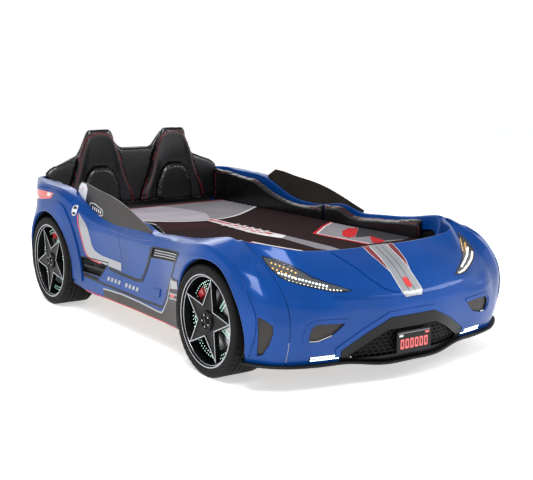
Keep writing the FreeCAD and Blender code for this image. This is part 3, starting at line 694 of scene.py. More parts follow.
def panel(name, grid, node, cutters):
    """A 3 mm shell panel with its openings cut out, in place of its CAD node."""
    faces = strip_faces(*grid.shape[:2])
    if grid[..., 0].max() <= 0:
        faces = [(a, d, c, b) for a, b, c, d in faces]
    skin = mesh_from(name + "_skin", grid.reshape(-1, 3) * MM, faces)
    obj = add_object(name, thicken(skin.copy(), 3.0, 0), "paint")
    for mesh in cutters:
        tool = link_object("cutter", mesh)
        modify(obj, "BOOLEAN", operation="DIFFERENCE", solver="EXACT", object=tool)
        bpy.data.objects.remove(tool)
        bpy.data.meshes.remove(mesh)
    true_normals(obj.data, skin)
    bpy.data.meshes.remove(skin)
    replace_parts(obj, node)


front_cutters = [prism_mesh(GRILLE, "Y", -1230, -1090)]
for shape, axis, low, high in ((HEADLIGHT, "Z", 330, 560), (BUMPER_VENT, "Y", -1230, -1050),
                               (FOG_LIGHT, "Y", -1230, -1050)):
    for side, _ in SIDES:
        front_cutters.append(prism_mesh([(side * a, b) for a, b in shape][::side], axis, low, high))
panel("front_shell_skin", front_grid, "front_shell", front_cutters)
for place, grid, arch, shapes in (("front", side_grid, FRONT_ARCH, [FENDER_VENT, SIDE_VENT]),
                                  ("rear", tail_grid, REAR_ARCH, [REAR_SCOOP])):
    cy, cz, radius = arch
    for side, tag in SIDES:
        cutters = [prism_mesh(ellipse(cy, cz, radius, radius, 96), "X", *sorted((side * 546, side * 720)))]
        cutters += [prism_mesh(shape, "X", *sorted((side * 556, side * 720))) for shape in shapes]
        panel("%s_side_%s" % (place, tag), grid if side > 0 else mirrored_grid(grid),
              "%s_side_panel_%s" % (place, tag), cutters)
panel("rear_shell_skin", back_grid, "rear_shell", [])

# ------------------------------------------------------------------ pieces that lie on the body

# For each axis that a piece is laid along: where the rays start, and the way in
AXES = {
    "X": (lambda a, b: (900, a, b), Vector((-1, 0, 0))),
    "Y": (lambda a, b: (abs(a), -1500, b), Vector((0, 1, 0))),
    "y": (lambda a, b: (abs(a), 1500, b), Vector((0, -1, 0))),
    "Z": (lambda a, b: (abs(a), b, 1200), Vector((0, 0, -1))),
}


def land(axis, a, b):
    """The body point straight in from outside at (a, b), with its outward normal."""
    start, way = AXES[axis]
    place, normal, _, _ = RIGHT.ray_cast(Vector(start(a, b)) * MM, way)
    if place is None:
        return None, None
    if normal.dot(way) > 0:
        normal = -normal
    if axis != "X" and a < 0:
        place.x, normal.x = -place.x, -normal.x
    return place, normal


def patch(name, poly, axis, material, lift=0.5, thick=0.0, spacing=9.0, both=True, node=None, slot=None):
    """A piece with the outline poly laid on the body, lift mm proud of it; lift can be a function of the place."""
    flat, tris = fill(poly, spacing, 0.45)
    landed = [land(axis, p.x, p.y) for p in flat]
    verts = [place + normal * (lift(*p) if callable(lift) else lift) * MM if place is not None else (0, 0, 0)
             for p, (place, normal) in zip(flat, landed)]
    faces = [f for f in tris if all(landed[i][0] is not None for i in f)]
    mesh = oriented(name, verts, faces, -AXES[axis][1])
    if thick:
        mesh = thicken(mesh, thick)
    if both:
        pair(name, mesh, material, node, True, slot)
    else:
        add_object(name, mesh, material, True, slot)


# Raised flares round the arches, and other raised parts of the body in its own paint
FRONT_FLARE = [(-490, 296), (-512, 352), (-552, 402), (-620, 452), (-700, 478), (-770, 486), (-835, 478),
               (-895, 453), (-951, 407), (-996, 347), (-1017, 290), (-1008, 210), (-980, 140)]
REAR_FLARE = [(900, 428), (860, 466), (787, 502), (715, 520), (643, 525), (595, 510), (552, 474), (515, 424),
              (488, 360), (470, 300), (456, 236), (450, 165)]
for name, crease, (cy, cz, radius), start, stop in (("flare_front", FRONT_FLARE, FRONT_ARCH, 197, 19),
                                                    ("flare_rear", REAR_FLARE, REAR_ARCH, 195, 56)):
    turns = np.radians(np.linspace(start, stop, 40))
    edge = [(cy + (radius + 0.5) * math.cos(t), cz + (radius + 0.5) * math.sin(t)) for t in turns]
    patch(name, smooth_open(crease, 36) + edge, "X", "paint", 6.5, 7.5, 10.0)
patch("vent_brow", band([(300, 262), (372, 268), (434, 270), (462, 254), (470, 222), (460, 190)], 12), "Y",
      "paint", 3.0, 4.0, 7.0)
patch("nose_lip", band([(0, 330), (90, 330), (200, 334), (300, 346), (350, 356)], 7), "Y", "paint", 2.2, 3.0, 8.0)
patch("hood_middle", [(-234, -950), (234, -950), (203, -1018), (166, -1081), (117, -1130), (60, -1150),
                      (-60, -1150), (-117, -1130), (-166, -1081), (-203, -1018)], "Z", "paint", 3.4, 4.0, 12.0,
      False)
patch("flap", rounded([(-206, 250), (-276, 256), (-272, 220), (-210, 214)], 7), "X", "paint", 3.6, 4.0, 6.0)
patch("tail_lip", band([(1030, 584), (889, 580), (782, 583), (658, 574), (583, 556), (548, 541)], 9), "X",
      "paint", 3.0, 4.0, 8.0)

# Side: silver sweep with its red edge, door lines, sill and its marks
patch("side_sweep", [(472, 492), (440, 470), (404, 447), (380, 424), (368, 385), (362, 355), (350, 338),
                     (335, 326), (300, 317), (266, 312), (96, 306), (96, 270), (200, 273), (290, 278), (340, 283),
                     (380, 288), (405, 298), (418, 318), (430, 345), (440, 385), (450, 425), (462, 465)],
      "X", "silver")
SILL_TOP = [(252, 164), (170, 168), (70, 171), (-110, 168), (-270, 162), (-300, 163), (-318, 176), (-352, 226),
            (-380, 300), (-400, 328), (-470, 331)]
SILL_REST = [(-486, 262), (-480, 200), (-470, 150), (-452, 128), (-300, 126), (-100, 125), (90, 124), (244, 124)]
patch("sill", SILL_TOP + SILL_REST, "X", "sill", 2.2, 2.0, node="sills")
for name, line, width, material, lift in (
        ("side_sweep_edge", [(476, 482), (458, 430), (440, 372), (428, 330), (412, 300), (385, 285), (340, 279),
                             (290, 274)], 7, "red", 0.7),
        ("door_line", [(-216, 424), (-163, 350), (-96, 262), (-60, 256), (20, 256), (120, 259), (214, 266)], 13,
         "black_gloss", 0.8),
        ("door_edge", [(-228, 424), (-173, 347), (-106, 254)], 4, "black", 0.5),
        ("skirt_line", [(-486, 440), (-448, 402), (-368, 300), (-312, 196), (-296, 186), (-114, 181), (60, 183),
                        (250, 185), (440, 196)], 10, "black_gloss", 0.8),
        ("sill_outline", SILL_TOP[:-1], 7, "silver", 2.8),
        ("foot_line", [(448, 128), (300, 126), (90, 126), (-300, 128), (-450, 131)], 4, "red", 3.1),
        ("sill_joint", [(92, 172), (92, 126)], 2.5, "black", 2.8),
        # Painted shade: a thin darker blue strip along the side's crease, in place of the shading the crease would
        # get
        ("sweep_crease", [(190, 448), (90, 440), (-63, 438), (-168, 446), (-225, 458)], 3, "seam", 0.4)):
    patch(name, band(line, width), "X", material, lift)
patch("sill_patch", [(-392, 318), (-470, 325), (-474, 296), (-384, 280)], "X", "silver", 2.9)
for k in range(2):
    top = 262 - 20 * k
    patch("sill_bar%d" % k, [(-372, top), (-462, top + 10), (-462, top + 4), (-372, top - 6)], "X", "silver", 2.9)
patch("sill_mark", [(-384, 258), (-430, 264), (-430, 252), (-384, 246)], "X", "red", 3.0)
for k in range(9):
    y = 222 - 34 * k
    if abs(y - 92) > 16:
        patch("dash%d" % k, [(y, 208), (y - 6, 226), (y - 26, 226), (y - 20, 208)], "X", "silver", 0.6)
patch("roundel", ellipse(503, 497, 19, 25, 36), "X", "white", 0.9)
ROUNDEL = ellipse(503, 497, 14, 20, 32)
patch("roundel_top", [p for p in ROUNDEL if p[1] >= 502], "X", "cover_dark", 1.3, spacing=5.0)
patch("roundel_low", [p for p in ROUNDEL if p[1] <= 491], "X", "cover_dark", 1.3, spacing=5.0)

# Side vent: a black louvre with three pale lines
patch("side_vent", SIDE_VENT, "X", "black", -2.5, 4.0, 7.0, node="side_vents")
corners = [Vector(p) for p in SIDE_VENT]
for k, share in enumerate((0.28, 0.52, 0.76)):
    a, b = corners[0].lerp(corners[3], share), corners[1].lerp(corners[2], share)
    patch("side_vent_line%d" % k, band([a.lerp(b, 0.1), a.lerp(b, 0.92)], 4.0), "X", "silver", -1.0)
patch("side_vent_frame", loop_band(SIDE_VENT, 5), "X", "black_gloss", 1.0)


def scoop_floor(y, z):
    return -16 + 12 * abs(((y - 216) / 60.0) % 2 - 1) if 232 < z < 276 else -14


patch("scoop", REAR_SCOOP, "X", "black", scoop_floor, 2.0, 7.0, node="rear_scoops")
patch("scoop_slat", [(240, 250), (450, 250), (450, 240), (262, 240)], "X", "black_gloss", -4, 3.0)
patch("scoop_frame", loop_band(REAR_SCOOP, 5), "X", "black_gloss", 0.8)
patch("scoop_slot", [(300, 203), (444, 208), (444, 196), (312, 191)], "X", "black", 0.6)
patch("fender_vent", FENDER_VENT, "X", "vent", -7, 3.0, 6.0, node="fender_vents")
patch("bumper_vent", BUMPER_VENT, "Y", "vent", -7, 3.0, 6.0, node="bumper_vents")
patch("fog_base", FOG_LIGHT, "Y", "black_gloss", -2.0, 3.0, 6.0, node="fog_lights")

# Tail light: a red lens with clear parts, carried on across the back
patch("tail_lens", rounded([(704, 560), (730, 532), (880, 514), (1000, 512), (1000, 560), (890, 562)], 8), "X",
      "tail_red", 1.0, 2.5, 8.0, node="tail_light_*", slot="red_lens")
patch("tail_clear", [(724, 557), (742, 542), (776, 540), (770, 559)], "X", "tail_clear", 1.6)
patch("tail_clear_low", [(860, 532), (960, 530), (960, 516), (866, 518)], "X", "tail_clear", 1.6)
patch("tail_back", [(300, 562), (545, 562), (545, 512), (320, 512)], "y", "tail_red", 1.0, 2.5)

# Hood stripes and the plain disc at their end
patch("hood_red", [(-76, -928), (76, -928), (74, -990), (64, -1040), (50, -1074), (-50, -1074), (-64, -1040),
                   (-74, -990)], "Z", "dark_red", 3.8, both=False)
patch("hood_silver", [(-44, -928), (44, -928), (45, -1000), (49, -1080), (50, -1120), (50, -1152), (40, -1159),
                      (-40, -1159), (-50, -1152), (-50, -1120), (-49, -1080), (-45, -1000)], "Z", "silver", 4.0,
      spacing=7.0, both=False)
for name, half, line, width, material, lift in (
        ("hood_edge", 44, [(1, -928), (1.02, -1000), (1.1, -1080), (1.13, -1120), (1.13, -1152)], 3, "white", 4.3),
        ("hood_rim", 76, [(1, -928), (0.97, -990), (0.84, -1040), (0.66, -1076)], 2.5, "white", 4.2),
        ("hood_line", 14, [(1, -928), (1, -1158)], 2.5, "cover_dark", 4.3)):
    for x in (-half, half):
        patch("%s%d" % (name, x + half), band([(x * share, y) for share, y in line], width), "Z", material, lift,
              both=False)
patch("hood_disc", ellipse(0, -1120, 15, 19, 28), "Z", "red", 4.6, spacing=5.0, both=False)

# Headlights: dark housing, rows of small lamps, clear cover
patch("headlight_housing", HEADLIGHT, "Z", "black_gloss", -9.0, 2.0, 8.0, node="headlight_housing_*",
      slot="black_gloss")
patch("headlight_lens", HEADLIGHT, "Z", "lens", -0.3, spacing=8.0, node="headlight_lens_*")
patch("headlight_rim", loop_band(HEADLIGHT, 4.0), "Z", "black_gloss", 0.4)


def lamps(name, spots, axis, depth, radius, material, squash=(1.0, 1.0)):
    """Small domed lamps standing on the body, on both sides of the car."""
    verts, faces = [], []
    for place, normal in (land(axis, *spot) for spot in spots):
        u = normal.cross(Vector((0, 0, 1))).normalized()
        w = u.cross(normal).normalized()
        base = len(verts)
        for share, height in ((1.0, 0.0), (0.8, 0.45), (0.4, 0.75)):
            for k in range(8):
                t = 2 * math.pi * k / 8
                out = u * math.cos(t) * squash[0] + w * math.sin(t) * squash[1]
                verts.append(place + (normal * (depth + height * radius) + out * radius * share) * MM)
        for ring in (base, base + 8):
            faces += [(ring + k, ring + (k + 1) % 8, ring + 8 + (k + 1) % 8, ring + 8 + k) for k in range(8)]
        faces.append(tuple(range(base + 16, base + 24)))
    pair(name, mesh_from(name, verts, faces), material)


lamps("amber", along([(492, -915), (460, -955), (425, -1000)], 7) +
      along([(500, -935), (470, -970), (438, -1010)], 6), "Z", -7.0, 3.6, "led_amber")
lamps("white_row", along([(490, -962), (440, -1010), (390, -1046), (340, -1076)], 15), "Z", -7.0, 4.6, "led_soft")
for k in range(2):
    lamps("fog_row%d" % k, [(316 + 9.2 * j, 117 + 10 * k + j / 6) for j in range(13)], "Y", 0.2, 4.0, "led",
          (1.05, 0.9))
lamps("bar_row", along([(494, -985), (450, -1025), (396, -1060), (340, -1089), (296, -1105)], 17), "Z", -6.0, 4.4,
      "led_warm", (0.7, 1.5))

# ------------------------------------------------------------------ wheels

AXLE_Z, TYRE_RADIUS = 218.0, 218.0
OUT = (1, 0, 0)


def revolve(outline, wheel_y, steps, start=0.0, sweep=360.0, notch=None):
    """Turns an (x, r) outline about the wheel's axle. notch(k, j) lowers single points."""
    full = sweep >= 360.0
    count = steps if full else steps + 1
    verts = []
    for k in range(count):
        t = math.radians(start + sweep * k / steps)
        for j, (x, r) in enumerate(outline):
            r -= notch(k, j) if notch else 0.0
            verts.append((x * MM, (wheel_y + r * math.cos(t)) * MM, (AXLE_Z + r * math.sin(t)) * MM))
    return verts, strip_faces(count, len(outline), full)


def tread_outline(inner, outer, shoulder=9.0):
    """Tyre section from the inner bead, over the tread with its grooves, to the outer shoulder."""
    r = TYRE_RADIUS
    pts = [(inner + 4, 181), (inner, 190), (inner, 203), (inner + 3, r - 5), (inner + shoulder, r)]
    for x in np.arange(inner + shoulder + 10, outer - shoulder - 12, 24):
        pts += [(x, r), (x + 0.8, r - 3.5), (x + 5.2, r - 3.5), (x + 6, r)]
    return pts + [(outer - shoulder, r), (outer - 4, r - 3.5)]


def flat(r, degrees):
    return Vector((r * math.cos(math.radians(degrees)), r * math.sin(math.radians(degrees))))


def star_ring(corners, distance):
    """The star's outline, moved in by a distance."""
    out = []
    n = len(corners)
    for k, p in enumerate(corners):
        e1, e2 = (p - corners[k - 1]).normalized(), (corners[(k + 1) % n] - p).normalized()
        m = Vector((-e1.y - e2.y, e1.x + e2.x))
        out.append(p + m / max(0.12, m.length_squared) * 2 * distance)
    return out


def wheel(place, wheel_y, turn, first):
    """All of one axle's wheels; first says that its pieces stand for the nodes that all four share."""
    def put(p, x):
        return Vector((x, wheel_y + p.x, AXLE_Z + p.y)) * MM

    def turned(name, outline, steps, material, node=None, smooth=True, slot=None):
        pair("%s_%s" % (name, place), oriented(name, *revolve(outline, wheel_y, steps), OUT), material, node,
             smooth, slot)

    # Tyre with notched tread blocks on its outer shoulder, and a tread foot behind it that reaches the floor
    inner, outer, r = 540.0, 648.0, TYRE_RADIUS
    pts = tread_outline(inner, outer)
    last = len(pts) - 2
    pts += [(outer - 1, r - 10), (outer, r - 20), (outer - 0.2, r - 22), (outer - 1.6, r - 23),
            (outer - 0.4, r - 25), (outer - 0.6, r - 33), (outer - 3, r - 36)]

    def blocks(k, j):
        return 2.6 if k % 5 == 0 and last - 2 <= j <= last + 2 else 0.0

    mesh = oriented("tyre", *revolve(pts, wheel_y, 240, notch=blocks), OUT)
    pair("tyre_skin_" + place, thicken(mesh, 0, 38), "tyre", "tyre_%s_*" % place, True, "tyre_rubber")
    pts = tread_outline(480.0, 546.0) + [(546.0, 200.0)]
    half = math.degrees(math.acos((AXLE_Z - 134.0) / 200.0))
    verts, faces = revolve(pts, wheel_y, 90, 270 - half, 2 * half)
    faces += [tuple(range(base, base + len(pts))) for base in (0, 90 * len(pts))]
    pair("tread_foot_" + place, thicken(oriented("foot", verts, faces, (0, 0, -1)), 0, 38), "tyre")

    turned("rim_barrel", [(542, 179), (542, 172), (606, 170), (626, 172), (641, 173.5), (645.5, 176), (645.5, 180),
                          (641, 181)], 144, "rim", "rim_%s_*" % place)
    turned("rim_lip", [(645.7, 175.2), (646.6, 176.4), (646.6, 179.4), (645.7, 180.4)], 144, "rim_edge")
    turned("rim_ring", [(637.5, 168.6), (639.0, 169.2), (639.0, 171.6), (637.5, 172.4)], 144, "rim_edge")

    # Star: side walls, a bright bevelled edge, and a dark face that falls away to the middle
    corners = [flat(66.0 if k % 2 else 170.0, 36 * k + 90 + turn) for k in range(10)]
    levels = [(0.0, 618.0), (0.0, 637.0), (1.2, 638.4), (5.2, 638.0), (7.5, 634.5)]
    rings = [[put(p, x) for p in star_ring(corners, d)] for d, x in levels]
    verts = [ring[k % 10] for ring in rings for k in range(11)] + [put(Vector((0, 0)), 633.0)]
    faces = strip_faces(5, 11) + [(44 + k, 45 + k, 55) for k in range(10)]
    mesh = mesh_from("star", verts, faces)
    edit(mesh, lambda bm: bmesh.ops.remove_doubles(bm, verts=bm.verts, dist=1e-6))
    right, left = pair("rim_star_" + place, mesh, "rim", None, False)
    for obj in (right, left):
        obj.data.materials.append(M["rim_edge"])
        for poly in obj.data.polygons[20:30]:
            poly.material_index = 1

    turned("rim_hub", [(618, 0.1), (618, 41), (639, 40), (641.5, 37), (641.5, 33), (637.5, 31), (637.5, 14),
                       (641, 13), (643, 10), (643, 0.1)], 64, "rim")
    verts, faces = [], []
    for k in range(5):
        centre = flat(23.5, 72 * k + 54 + turn)
        b = len(verts)
        verts += [put(centre + flat(r, 60 * j), x) for j in range(6) for x, r in ((637.0, 4.6), (643.0, 4.2))]
        faces += [(b + 2 * j, b + 2 * ((j + 1) % 6), b + 2 * ((j + 1) % 6) + 1, b + 2 * j + 1) for j in range(6)]
        faces.append(tuple(b + 2 * j + 1 for j in range(6)))
    pair("rim_bolts_" + place, oriented("bolts", verts, faces, OUT), "rim_edge", None, False)

    # Lamps behind the spokes: two rings of dots, and short rows beside each arm
    spots = [(flat(r, 360.0 * k / count), x) for r, count, x in ((150, 66, 606), (138, 60, 604))
             for k in range(count)]
    spots += [(flat(64 + 8.5 * step, 72 * arm + 120 + turn) + flat(shift, 72 * arm + 210 + turn), 600)
              for arm in range(5) for step in range(11) for shift in (-7, 7)]
    verts, faces = [], []
    for p, x in spots:
        b = len(verts)
        verts += [put(p + flat(2.3, 60 * j), x) for j in range(6)] + [put(p, x + 1.6)]
        faces += [(b + j, b + (j + 1) % 6, b + 6) for j in range(6)]
    pair("wheel_dots_" + place, mesh_from("dots", verts, faces), "led_green", "wheel_leds" if first else None)

    section = [(590, 104), (590, 134), (596, 138), (610, 136), (612, 130), (612, 108), (606, 104)]
    verts, faces = revolve(section, wheel_y, 14, 39 if place == "front" else 77, 17)
    faces += [tuple(range(7)), tuple(range(98, 105))]
    pair("caliper_skin_" + place, oriented("caliper", verts, faces, OUT), "caliper", "calipers" if first else None,
         False)
    turned("disc_skin", [(598, 40), (598, 118), (594, 119), (594, 40)], 96, "disc",
           "brake_discs" if first else None)
    turned("rim_back", [(560, 0.1), (560, 171)], 96, "black")


wheel("front", -708.0, 12.0, True)
wheel("rear", 770.0, 45.0, False)

# Arch lips: the body's edge turned in round each wheel, with a raised rim outside it
for name, (cy, cz, radius) in (("arch_lip_front", FRONT_ARCH), ("arch_lip_rear", REAR_ARCH)):
    verts = []
    for t in np.radians(np.linspace(-14, 194, 120)):
        c, s = math.cos(t), math.sin(t)
        place, _ = land("X", cy + (radius + 1.0) * c, cz + (radius + 1.0) * s)
        if place is None:
            continue
        for out, dx in ((16, -0.3), (9, 7.4), (2, 8.0), (-1.5, 5.0), (-2.5, -2), (-2.5, -30)):
            y, z = cy + (radius + out) * c, cz + (radius + out) * s
            hit = land("X", y, z)[0] if out > 0 else None
            verts.append(((hit or place).x + dx * MM, y * MM, z * MM))
    pair(name, oriented(name, verts, strip_faces(len(verts) // 6, 6), OUT), "paint")

# ------------------------------------------------------------------ front grille

patch("grille_back", [(-280, 92), (280, 92), (300, 110), (300, 146), (200, 200), (112, 238), (-112, 238),
                      (-200, 200), (-300, 146), (-300, 110)], "Y", "black", -18.0, spacing=12.0, both=False)
patch("grille_border", band([(-318, 120), (-322, 150), (-214, 219), (-118, 264), (0, 266), (118, 264), (214, 219),
                             (322, 150), (318, 120)], 20), "Y", "paint", 3.5, 5.0, 8.0, False)


def flat_panel(name, low, high, y, material, thick, radius=0):
    """A flat plate facing forwards at y, between two opposite corners in x, z."""
    (x0, z0), (x1, z1) = low, high
    poly = [(x0, z0), (x1, z0), (x1, z1), (x0, z1)]
    mesh = prism_mesh(rounded(poly, radius) if radius else poly, "Y", y, y + thick)
    return add_object(name, mesh, material, False)


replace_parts(flat_panel("plate_skin", (-87, 111), (87, 193), -1170.5, "black_gloss", 5.0, 6), "number_plate")
flat_panel("plate_line", (-80, 183), (80, 187), -1171.2, "cover_grey", 0.8, 2)
for k in range(6):
    x = -69 + 24 * k
    flat_panel("plate_block%d" % k, (x, 124), (x + 18, 162), -1171.4, "coral", 1.0, 4)
    flat_panel("plate_slot%d" % k, (x + 6, 132), (x + 12, 154), -1171.8, "black_gloss", 0.8, 2)
flat_panel("plate_dot_l", (-76, 172), (-56, 180), -1171.3, "white", 0.9)
flat_panel("plate_dot_r", (56, 172), (76, 180), -1171.3, "coral", 0.9)

# ------------------------------------------------------------------ side windows

WINDOW_BACK, WINDOW_X = 608, 560
WINDOW_YAW = math.radians(1.2)
WINDOW_CREST = smooth_open([(540, 627), (480, 624), (370, 609), (232, 594), (100, 571), (-20, 538), (-112, 509),
                            (-184, 487)], 40)
WINDOW_SHAPE = [(WINDOW_BACK, 590)] + WINDOW_CREST + [(-165, 458), (250, 455), (400, 482), (500, 520), (596, 560)]
BADGE = rounded([(452, 514), (430, 498), (345, 487), (309, 492), (306, 516), (397, 538), (446, 536)], 9)


def window_sheet(name, poly, out, side, tag, material, thick=0.0):
    """A sheet in the plane of the side window, out mm from its inner face; the window turns out to the front."""
    points, tris = fill(poly, 14.0)
    verts = []
    for y, z in points:
        reach = WINDOW_BACK - y
        verts.append(Vector((side * (WINDOW_X + math.sin(WINDOW_YAW) * reach + out),
                             WINDOW_BACK - math.cos(WINDOW_YAW) * reach, z)) * MM)
    mesh = oriented(name, verts, tris, (side, 0, 0))
    return add_object(name + "_" + tag, thicken(mesh, thick, 0) if thick else mesh, material, False)


for side, tag in SIDES:
    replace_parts(window_sheet("window_skin", WINDOW_SHAPE, 4.0, side, tag, "smoke", 4.0), "side_window_" + tag)
    window_sheet("window_stripe", [(580, 578), (562, 606), (536, 624), (486, 621), (472, 598), (486, 566),
                                   (498, 542), (482, 512), (500, 528), (524, 538), (552, 556)], 4.5, side, tag,
                 "white")
    window_sheet("window_mark", [(536, 590), (526, 602), (521, 599), (531, 586)], 4.8, side, tag, "red")
    window_sheet("window_badge", loop_band(BADGE, 4.0), 4.5, side, tag, "white")
    for k in range(5):
        y, z = 424 - 21 * k, 510 - 3 * k
        window_sheet("window_bar%d" % k, [(y, z), (y - 5, z + 15), (y - 16, z + 13), (y - 11, z - 2)], 4.6, side,
                     tag, "white")

# ------------------------------------------------------------------ upholstery

# Outlines in x, z; those that end in HALF are mirrored
PAD_HALF = [(528, 596), (530, 614), (497, 646), (352, 705), (332, 742), (292, 826), (158, 826), (92, 744)]
SEAT_X = 224.0
SEAT_PROFILE = [(212, 428), (196, 500), (178, 540), (160, 582), (142, 640), (130, 690), (102, 760), (76, 826),
                (58, 843)]
LUMBAR_HALF = [(118, 430), (112, 530), (78, 606), (38, 640)]
FRONT_WAY, SIDE_WAY = (0, -1, 0), (-1, 0, 0)


def symmetric(half):
    return half + [(-x, z) for x, z in reversed(half)]


def clamp(value, low, high):
    return min(high, max(low, value))


def stuffed(name, source, voxel, cap, limit, shrink=0.001, free=(0.3, 1.0, 0.3), inflate=True):
    """A pad sewn from a solid's shape: remeshed, blown up by cloth simulation, and kept within its limits."""
    obj = link_object(name, source)
    source.materials.clear()
    modify(obj, "REMESH", mode="VOXEL", voxel_size=voxel)
    modify(obj, "SMOOTH", iterations=3, factor=0.5)
    start = coordinates(obj.data) - coordinates(obj.data, "normal") * shrink
    set_coordinates(obj.data, start)
    if inflate:
        mod = obj.modifiers.new("cloth", "CLOTH")
        for key, value in (("quality", 3), ("mass", 0.3), ("tension_stiffness", 12), ("compression_stiffness", 12),
                           ("shear_stiffness", 5), ("bending_stiffness", 0.4), ("use_pressure", True),
                           ("uniform_pressure_force", 4.0)):
            setattr(mod.settings, key, value)
        mod.settings.effector_weights.gravity = 0.0
        mod.collision_settings.use_collision = False
        mod.point_cache.frame_start = 1
        mod.point_cache.frame_end = 20
        for frame_number in range(1, 21):
            bpy.context.scene.frame_set(frame_number)
            bpy.context.view_layer.update()
        apply_modifiers(obj)
        bpy.context.scene.frame_set(1)
    move = (coordinates(obj.data) - start) * np.array(free)
    size = np.linalg.norm(move, axis=1, keepdims=True)
    move *= np.minimum(1.0, cap / np.maximum(size, 1e-9))
    mesh = obj.data.copy()
    set_coordinates(mesh, np.array([limit(*p) for p in start + move]))
    bpy.data.objects.remove(obj)
    return mesh


def groove(mesh, lines, plane, depth, width, way):
    """Presses sewn channels into a pad along lines given in one plane, XZ or YZ."""
    co, normals = coordinates(mesh), coordinates(mesh, "normal")
    across = co[:, (0, 2) if plane == "XZ" else (1, 2)]
    best = np.full(len(co), 1e9)
    for line in lines:
        for a, b in zip(line, line[1:]):
            a, ab = np.array(a) * MM, (np.array(b) - np.array(a)) * MM
            t = np.clip((across - a) @ ab / (ab @ ab), 0.0, 1.0)
            best = np.minimum(best, np.linalg.norm(across - a - t[:, None] * ab, axis=1))
    facing = normals @ np.array(way) > 0.15
    drop = depth * MM * np.exp(-(best / (width * MM)) ** 2) * facing
    set_coordinates(mesh, co - np.array(way) * drop[:, None])


def stitches(name, mesh, lines, plane, way, length=7.0, pitch=9.0, width=1.5):
    """A row of threads lying on the right-hand pad along each line, mirrored for the left one."""
    tree = tree_of(mesh)
    way = Vector(way)
    verts, faces = [], []
    for line in lines:
        total, at = walk(line)
        for begin in np.arange(0.0, total - length, pitch):
            places = []
            for share in (0.0, 0.5, 1.0):
                a, b = at(begin + length * share)
                origin = (a, -2000, b) if plane == "XZ" else (-2000, a, b)
                place, normal, _, _ = tree.ray_cast(Vector(origin) * MM, -way)
                if place is not None:
                    places.append((place, normal if normal.dot(way) > 0 else -normal))
            if len(places) < 3:
                continue
            run = (places[2][0] - places[0][0]).normalized()
            base = len(verts)
            for (place, normal), lift in zip(places, (0.2, 1.3, 0.2)):
                across = run.cross(normal).normalized()
                for dx, dz in ((-0.5, 0.0), (-0.35, 0.9), (0.35, 0.9), (0.5, 0.0)):
                    verts.append(place + (across * width * dx + normal * (lift * dz + 0.1)) * MM)
            faces += [tuple(base + i for i in f) for f in strip_faces(3, 4) + [(0, 1, 2, 3), (8, 9, 10, 11)]]
    pair(name, oriented(name, verts, faces, way), "stitch")


SEAT_HALF = symmetric(SEAT_PROFILE)
LUMBAR = symmetric(LUMBAR_HALF)
SEAT_SEAM = [(202, 436), (187, 500), (168, 540), (149, 582), (131, 640), (118, 690), (91, 760), (68, 798),
             (49, 811)]
SEAT_SEAMS = [smooth_open([(SEAT_X + x, z) for x, z in symmetric(SEAT_SEAM)[::-1]]),
              smooth_open([(SEAT_X + x * 0.915, z - (5 if z > 800 else 0)) for x, z in symmetric(SEAT_SEAM)[::-1]])]
REAR_SEAM = smooth_open([(1048, 570), (891, 581), (654, 557), (611, 549), (466, 508), (319, 480), (178, 470),
                         (66, 473)])
FRONT_SEAM = smooth_open([(44, 481), (-20, 490), (-89, 491), (-159, 470), (-325, 468), (-528, 482), (-640, 486)])

# Each limit keeps a pad off its neighbours and off the mattress, which ends at x 0.4955, y 1.0255 and z 0.4262
PAD_FLOOR = 0.4285


def head_limit(x, y, z):
    behind_seat = inside(((abs(x) / MM - SEAT_X) * 1.03, z / MM), SEAT_HALF)
    return x, max(min(y, 1.0957), 1.0735 if behind_seat else 1.062), max(z, PAD_FLOOR)


def seat_limit(x, y, z):
    behind_lumbar = inside(((x / MM - SEAT_X) * 1.03, z / MM), LUMBAR)
    return x, clamp(y, 1.0465 if behind_lumbar else 1.034, 1.0722), max(z, PAD_FLOOR)


def lumbar_limit(x, y, z):
    return x, clamp(y, 1.0275, 1.0455), max(z, PAD_FLOOR)


def side_limit(x, y, z):
    return clamp(x, 0.4972, 0.5238), y, max(z, 0.2965)


def mattress_limit(x, y, z):
    return clamp(x, -0.4955, 0.4955), clamp(y, -0.887, 1.0255), clamp(z, 0.2445, 0.4262)


PAD_OUTLINE = symmetric(PAD_HALF) + [(-526, 418), (526, 418)]
head_source = prism_mesh(rounded(PAD_OUTLINE, 34, 6), "Y", 1073.0, 1095.7)
head = stuffed("headboard_cover", head_source, 0.0075, 0.009, head_limit, 0.002)
groove(head, [[(0, 436), (0, 740)]], "XZ", 1.5, 3.0, FRONT_WAY)
obj = add_object("headboard_cover", head, "leather")
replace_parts(obj, "headboard_pad")

seat_source = prism_mesh([(SEAT_X + x, z) for x, z in rounded(SEAT_HALF, 26, 5)], "Y", 1050.0, 1072.7)
seat = stuffed("seat_cover", seat_source, 0.006, 0.012, seat_limit, 0.002)
for v in seat.vertices:
    # The wings at each side stand proud of the smooth middle
    x, z = (v.co.x / MM) - SEAT_X, v.co.z / MM
    if v.normal.y < -0.2:
        share = abs(x) / float(np.interp(z, [p[1] for p in SEAT_PROFILE], [p[0] for p in SEAT_PROFILE]))
        hollow, wing = max(0.0, 1 - (share / 0.7) ** 2), math.exp(-((share - 0.8) / 0.13) ** 2)
        v.co.y += clamp((860 - z) / 200, 0.25, 1.0) * (9.0 * hollow - 7.0 * wing) * MM
seat.update()
groove(seat, SEAT_SEAMS, "XZ", 2.6, 4.0, FRONT_WAY)
lumbar_source = prism_mesh([(SEAT_X + x, z) for x, z in rounded(LUMBAR, 34, 6)], "Y", 1035.0, 1045.7)
lumbar = stuffed("lumbar_cover", lumbar_source, 0.005, 0.012, lumbar_limit)


